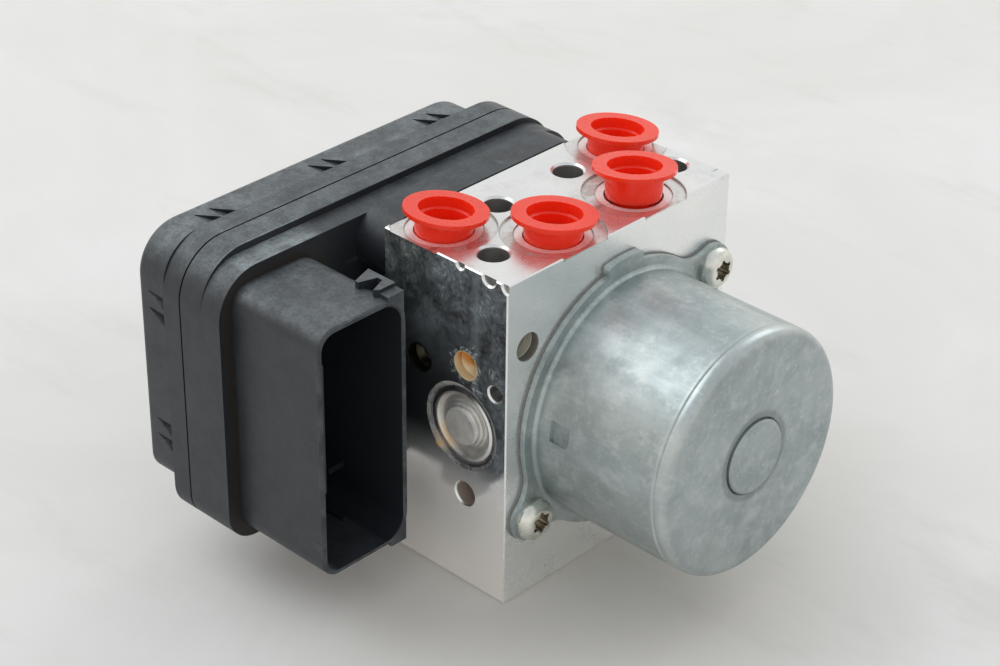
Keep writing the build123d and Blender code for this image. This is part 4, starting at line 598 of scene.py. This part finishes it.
def moulded_plastic():
    """Black glass-filled moulding: fine grain, dusty tops, scuffs and a worn pale bloom."""
    s = Shader("moulded_plastic")
    dust = s.noise(42, 7, 0.76)
    patches = s.noise(210, 6, 0.76, s.place(shift=(1, 4, 2)))
    up = s.ramp(s.axis("Normal", "Z"), 0.35, 0.9)
    outer = s.ramp(s.axis("Normal", "X"), 0.2, -0.8)
    cover = s.level("Y", COVER_START, COVER_START + 0.6)
    neck = s.times(s.level("Y", PAN_STEP + 1, PAN_STEP - 1), s.level("X", -50, -44))
    shoulder = s.times(
        s.level("Y", PAN_STEP + 0.6, PAN_STEP),
        s.level("Z", 81.5, 82),
        s.level("X", -44, -50),
    )
    hollow = s.times(s.rounded_box(SHROUD_CENTRE, HOLLOW_HALF, HOLLOW_CORNER), s.level("Y", 29, 28))
    outside = s.flipped(hollow)

    # dust settles on what faces up, more on the cover and the shoulder; the neck is kept darker
    dusty = s.times(
        s.ramp(dust, 0.32, 0.68, 0.55, 1.0),
        s.ramp(patches, 0.34, 0.66, 0.40, 1.0),
        s.ramp(s.noise(1300, 3, 0.7), 0.35, 0.65, 0.65, 1.0),
        s.math("MULTIPLY_ADD", up, 0.66, s.times(outer, 0.09)),
        s.math("MULTIPLY_ADD", neck, -0.6, 1.0),
        s.math("MULTIPLY_ADD", cover, 0.50, 1.0),
        s.math("MULTIPLY_ADD", shoulder, 1.2, 1.0),
        outside,
    )
    marked = s.times(outside, s.math("MULTIPLY_ADD", up, 0.40, 0.10))
    scuffs = s.times(s.scratches((0.25, 0.03, 1), (0, 0, 15), 300, 0.66), marked)
    specks = s.times(s.ramp(s.noise(800, 4, 0.7), 0.67, 0.72), marked)
    rim = s.times(
        outside,
        s.level("X", -46, -47),
        s.level("Y", 2.2, 1.3),
        s.ramp(s.noise(160, 5, 0.7), 0.38, 0.66, 0.15, 1.0),
        0.24,
    )
    streak_lines = s.ramp(s.noise(420, 5, 0.72, s.place((0.16, 1, 1))), 0.48, 0.66)
    streaks = s.times(shoulder, up, streak_lines, 0.9)
    # darker band round the shroud's root, where it meets the pan's face
    root_darkening = s.times(
        outside,
        s.rounded_box(SHROUD_CENTRE, ROOT_DARK_HALF, ROOT_DARK_CORNER),
        s.level("Y", PAN_FACE - 1.4, PAN_FACE - 0.3),
        s.level("Y", PAN_FACE + 0.4, PAN_FACE),
        s.ramp(patches, 0.30, 0.56, 0.3, 1.0),
    )
    tone = s.mix(s.union(dusty, scuffs, specks, rim, streaks), PLASTIC_BLACK, PLASTIC_DUST)
    tone = s.mix(s.times(root_darkening, 0.85), tone, PLASTIC_ROOT_DARK)
    s.feed(
        Base_Color=tone,
        Roughness=s.ramp(dust, 0.3, 0.7, 0.40, 0.55),
        Normal=s.bump(s.noise(2600, 2, 0.6), 0.12, 0.00015),
    )
    return s.material


# ------------------------------------------------------------------ small parts
RED_DEEP, RED_BRIGHT = (0.92, 0.030, 0.008), (0.98, 0.042, 0.013)
RED_BLOOM = (0.95, 0.6, 0.5)
CAP_DULL, CAP_BRIGHT = (0.72, 0.71, 0.68), (0.88, 0.87, 0.84)
# a painted amber reflection on the left cap, low in the groove: its colour and place
CAP_PAINTED_GLINT = (0.78, 0.52, 0.24)
CAP_PAINTED_GLINT_PLACE = (-37, 0.0, 37.4)
CAP_DISC_RADIUS = 4.3
PLATE_DULL, PLATE_BRIGHT = (0.66, 0.67, 0.60), (0.84, 0.84, 0.79)
PLATE_RECESS = (0.34, 0.27, 0.19)
MOTOR_SCREWS = ((30.2, 62.9), (-30.2, 21.9))
SCREW_TOP_Y = -24.1
RECESS_RADIUS = 2.7
BALL_DARK, BALL_LIGHT = (0.16, 0.15, 0.12), (0.34, 0.32, 0.26)
RUST_DARK, RUST_LIGHT = (0.60, 0.24, 0.05), (0.90, 0.48, 0.14)


def red_plastic():
    """Soft red caps: translucent, with a faint moulding bloom."""
    s = Shader("red_plastic")
    s.set(Subsurface_Weight=0.5, Subsurface_Scale=0.004, Subsurface_Radius=(1.0, 0.25, 0.12))
    s.set(Specular_IOR_Level=0.38)
    cloud = s.noise(120, 4, 0.6)
    dots = s.ramp(s.noise(1500, 2, 0.5), 0.70, 0.76)
    s.feed(
        Base_Color=s.mix(s.times(dots, 0.10), s.mix(cloud, RED_DEEP, RED_BRIGHT), RED_BLOOM),
        Roughness=s.ramp(cloud, 0.3, 0.7, 0.22, 0.34),
        Normal=s.bump(s.noise(260, 3, 0.5), 0.05, 0.0002),
    )
    return s.material


def turned_caps():
    """Lathe-turned pump caps: satin disc, bright stepped rings, a painted amber reflection low in
    the groove.
    """
    s = Shader("turned_caps")
    cloud = s.noise(300, 4, 0.65)
    disc = s.near(CAP_CENTRE, CAP_DISC_RADIUS, CAP_DISC_RADIUS + 0.4, IN_YZ)
    # painted amber reflection low in the groove
    painted_glint = s.times(
        s.near(CAP_PAINTED_GLINT_PLACE, 1.0, 5.0),
        s.flipped(disc),
        s.ramp(cloud, 0.4, 0.6, 0.4, 1.0),
    )
    tone = s.mix(s.ramp(cloud, 0.3, 0.7), CAP_DULL, CAP_BRIGHT)
    s.feed(
        Base_Color=s.mix(s.times(painted_glint, 0.8), tone, CAP_PAINTED_GLINT),
        Metallic=s.math("MULTIPLY_ADD", disc, -0.18, 0.72),
        Roughness=s.math("MULTIPLY_ADD", disc, 0.15, s.ramp(cloud, 0.3, 0.7, 0.28, 0.38)),
        Normal=s.bump(s.noise(2600, 1, 0.5), 0.04, 0.0001),
    )
    return s.material


def screw_plate():
    """Silver-yellow plated screws with a dark recess."""
    s = Shader("screw_plate")
    cloud = s.noise(240, 4, 0.65)
    recess = s.times(
        s.union(*[
            s.near((x, 0, z), RECESS_RADIUS, RECESS_RADIUS + 0.1, IN_XZ) for x, z in MOTOR_SCREWS
        ]),
        s.level("Y", SCREW_TOP_Y + 0.15, SCREW_TOP_Y + 0.6),
    )
    tone = s.mix(s.ramp(cloud, 0.35, 0.65), PLATE_DULL, PLATE_BRIGHT)
    s.set(Metallic=1.0)
    s.feed(
        Base_Color=s.mix(s.times(recess, 0.7), tone, PLATE_RECESS),
        Roughness=s.ramp(cloud, 0.3, 0.7, 0.22, 0.32),
        Normal=s.bump(s.noise(900, 3, 0.6), 0.04, 0.0001),
    )
    return s.material


def stained_balls():
    """Pressed steel balls: the one in the gold seat is stained orange, the others are dark."""
    s = Shader("stained_balls")
    cloud = s.noise(700, 4, 0.7)
    dull = s.mix(cloud, BALL_DARK, BALL_LIGHT)
    orange = s.mix(cloud, RUST_DARK, RUST_LIGHT)
    s.set(Metallic=0.8)
    s.feed(
        Base_Color=s.mix(s.near(GOLD_BALL, 7, 8), dull, orange),
        Roughness=s.ramp(cloud, 0.3, 0.7, 0.25, 0.40),
    )
    return s.material


# plain finishes: name, colour, metallic, roughness and the nodes that have it
PLAIN_FINISHES = (
    ("turned_steel", (0.72, 0.72, 0.72), 1.0, 0.25, (
        "rotor_shaft", "eccentric_bearing", "rear_bearing", "front_bearing",
        "pump_piston_left", "pump_piston_right", "pump_sleeve_left", "pump_sleeve_right",
        "inlet_valves", "outlet_valves", "pump_spring_left", "pump_spring_right",
        "reservoir_spring_left", "reservoir_spring_right", "motor_terminals",
    )),
    ("tinned_pins", (0.80, 0.79, 0.75), 1.0, 0.25, ("connector_pins",)),
    ("reservoir_caps", (0.74, 0.74, 0.72), 1.0, 0.28, (
        "reservoir_cap_left", "reservoir_cap_right",
        "reservoir_piston_left", "reservoir_piston_right",
    )),
    ("grey_gasket", (0.21, 0.22, 0.21), 0.0, 0.6, ("motor_gasket",)),
    ("black_rubber", (0.02, 0.02, 0.02), 0.0, 0.6, (
        "housing_seal", "reservoir_seal_left", "reservoir_seal_right",
    )),
    ("ferrite", (0.06, 0.06, 0.065), 0.0, 0.6, ("motor_magnets",)),
    ("laminations", (0.35, 0.36, 0.38), 1.0, 0.4, ("armature_core",)),
    ("copper", (0.75, 0.35, 0.18), 1.0, 0.3, ("armature_windings", "commutator")),
    ("black_moulding", (0.03, 0.03, 0.03), 0.0, 0.5, (
        "brush_plate", "carbon_brushes", "solenoid_coils",
    )),
    ("green_board", (0.03, 0.16, 0.07), 0.0, 0.4, ("circuit_board",)),
)
PLAIN_GRAIN = 900
PLAIN_SHADE = 0.82


def plain(name, colour, metallic, roughness):
    """Simple machined or moulded finish with fine variation."""
    s = Shader(name)
    fine = s.noise(PLAIN_GRAIN, 3, 0.6)
    cloud = s.noise(PLAIN_GRAIN / 6, 3, 0.6)
    darker = tuple(c * PLAIN_SHADE for c in colour)
    s.set(Metallic=metallic)
    s.feed(
        Base_Color=s.mix(s.ramp(s.math("ADD", fine, cloud), 0.7, 1.3), darker, colour),
        Roughness=s.ramp(fine, 0.3, 0.7, roughness - 0.05, roughness + 0.05),
        Normal=s.bump(fine, 0.05, 0.0001),
    )
    return s.material


def add_reservoir_spring(side, material):
    """Stands for the reservoir spring: a copy of it on the module body, while the original is
    hidden.
    """
    node = NODES[f"reservoir_spring_{side}"]
    spring = bpy.data.objects.new(f"shortening_spring_{side}", node.data.copy())
    bpy.context.scene.collection.objects.link(spring)
    spring.data.materials.clear()
    spring.data.materials.append(material)
    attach(spring, "module")
    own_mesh(spring)
    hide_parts(node.name)


# ------------------------------------------------------------------ surroundings
# the floor's width in metres, and its drop in millimetres below the block's foot
FLOOR_SIZE = 60
FLOOR_DROP = 0.05
FLOOR_GREY, FLOOR_PALE = (0.775, 0.757, 0.728), (0.850, 0.842, 0.825)
FLOOR_CREASE = (0.70, 0.68, 0.65)
# painted shadow round the foot
FLOOR_PAINTED_SHADOW = (0.60, 0.555, 0.50)
# painted shade far to the left
FLOOR_PAINTED_FALLOFF = (0.60, 0.585, 0.56)
# lamps: name, size, power, place, target and colour, in metres and watts
LIGHTS = (
    ("back_left", (1.1, 0.8), 4.0, (-0.34, 0.82, 1.05), (0, 0, 0), (0.95, 0.98, 1.0)),
    ("right", (0.8, 0.8), 2.4, (1.1, 0.15, 0.95), (0.1, 0, 0), (0.97, 0.99, 1.0)),
)
WORLD_HORIZON = 1.05
WORLD_ZENITH = 0.70
WORLD_FRONT = 0.88
WORLD_BACK_DIRECTION = (0.45, 0.89, 0)
WORLD_WARM = (1.0, 0.935, 0.86, 1)
WORLD_COOL = (0.95, 0.98, 1.0, 1)


def add_floor():
    """Pale painted board with faint warm blotches, with a painted shadow round the foot and painted
    shade far left.
    """
    s = Shader("pale_floor")
    cloud = s.noise(7, 6, 0.62, distortion=0.8)
    creases = s.noise(26, 5, 0.7, s.place((1, 0.35, 1), (0, 0, 30)))
    # painted shadow round the foot
    painted_shadow = s.near((0, -10, 0), 40, 98, IN_XY)
    tone = s.mix(s.ramp(cloud, 0.30, 0.72), FLOOR_GREY, FLOOR_PALE)
    tone = s.mix(s.times(s.ramp(creases, 0.52, 0.70), 0.5), tone, FLOOR_CREASE)
    tone = s.mix(s.times(painted_shadow, 0.42), tone, FLOOR_PAINTED_SHADOW)
    # painted shade: darker far to the left
    tone = s.mix(s.times(s.level("X", -70, -330), 0.40), tone, FLOOR_PAINTED_FALLOFF)
    s.feed(Base_Color=tone, Normal=s.bump(creases, 0.10, 0.001))
    s.set(Roughness=0.6)
    bpy.ops.mesh.primitive_plane_add(size=FLOOR_SIZE, location=(0, 0, -FLOOR_DROP * MM))
    floor = bpy.context.object
    floor.name = "floor"
    floor.data.materials.append(s.material)


def add_light(name, size, power, place, target, colour):
    data = bpy.data.lights.new(name, "AREA")
    data.shape = "RECTANGLE"
    data.size, data.size_y = size
    data.energy = power
    data.color = colour
    light = bpy.data.objects.new(name, data)
    bpy.context.scene.collection.objects.link(light)
    light.location = place
    light.rotation_euler = (Vector(target) - Vector(place)).to_track_quat("-Z", "Y").to_euler()


def add_world():
    """White tent: bright and warm low down, dimmer and cooler overhead, dimmer in front."""
    world = bpy.data.worlds.new("studio")
    world.use_nodes = True
    tree = world.node_tree
    coords = tree.nodes.new("ShaderNodeTexCoord")

    def graded(direction, low, high, out_low, out_high):
        """Level that changes with how far the sky lies towards a direction."""
        toward = tree.nodes.new("ShaderNodeVectorMath")
        toward.operation = "DOT_PRODUCT"
        tree.links.new(coords.outputs["Generated"], toward.inputs[0])
        toward.inputs[1].default_value = direction
        ramp = tree.nodes.new("ShaderNodeMapRange")
        tree.links.new(toward.outputs["Value"], ramp.inputs["Value"])
        ramp.inputs["From Min"].default_value = low
        ramp.inputs["From Max"].default_value = high
        ramp.inputs["To Min"].default_value = out_low
        ramp.inputs["To Max"].default_value = out_high
        return ramp.outputs["Result"]

    strength = tree.nodes.new("ShaderNodeMath")
    strength.operation = "MULTIPLY"
    height = graded((0, 0, 1), 0, 1, WORLD_HORIZON, WORLD_ZENITH)
    around = graded(WORLD_BACK_DIRECTION, -1, 0.2, WORLD_FRONT, 1)
    tree.links.new(height, strength.inputs[0])
    tree.links.new(around, strength.inputs[1])
    blend = tree.nodes.new("ShaderNodeMix")
    blend.data_type = "RGBA"
    tree.links.new(graded((0, 0, 1), 0, 0.6, 0, 1), blend.inputs["Factor"])
    blend.inputs["A"].default_value = WORLD_WARM
    blend.inputs["B"].default_value = WORLD_COOL
    background = tree.nodes["Background"]
    tree.links.new(blend.outputs["Result"], background.inputs["Color"])
    tree.links.new(strength.outputs[0], background.inputs["Strength"])
    bpy.context.scene.world = world


# ------------------------------------------------------------------ scene
bpy.context.scene.view_settings.view_transform = "Standard"
add_camera()
add_world()
add_floor()
for light in LIGHTS:
    add_light(*light)

dress(milled_aluminium(), "hydraulic_block")
dress(mottled_zinc(), "motor_can")
dress(moulded_plastic(), "controller_housing", "controller_cover")
dress(red_plastic(), "port_plug_1", "port_plug_2", "port_plug_3", "port_plug_4")
dress(stained_balls(), "sealing_balls")
dress(turned_caps(), "pump_cap_left", "pump_cap_right")
dress(screw_plate(), "motor_screws", "controller_screws")
finishes = {}
for name, colour, metallic, roughness, nodes in PLAIN_FINISHES:
    finishes[name] = plain(name, colour, metallic, roughness)
    dress(finishes[name], *nodes)
for side in ("left", "right"):
    add_reservoir_spring(side, finishes["turned_steel"])
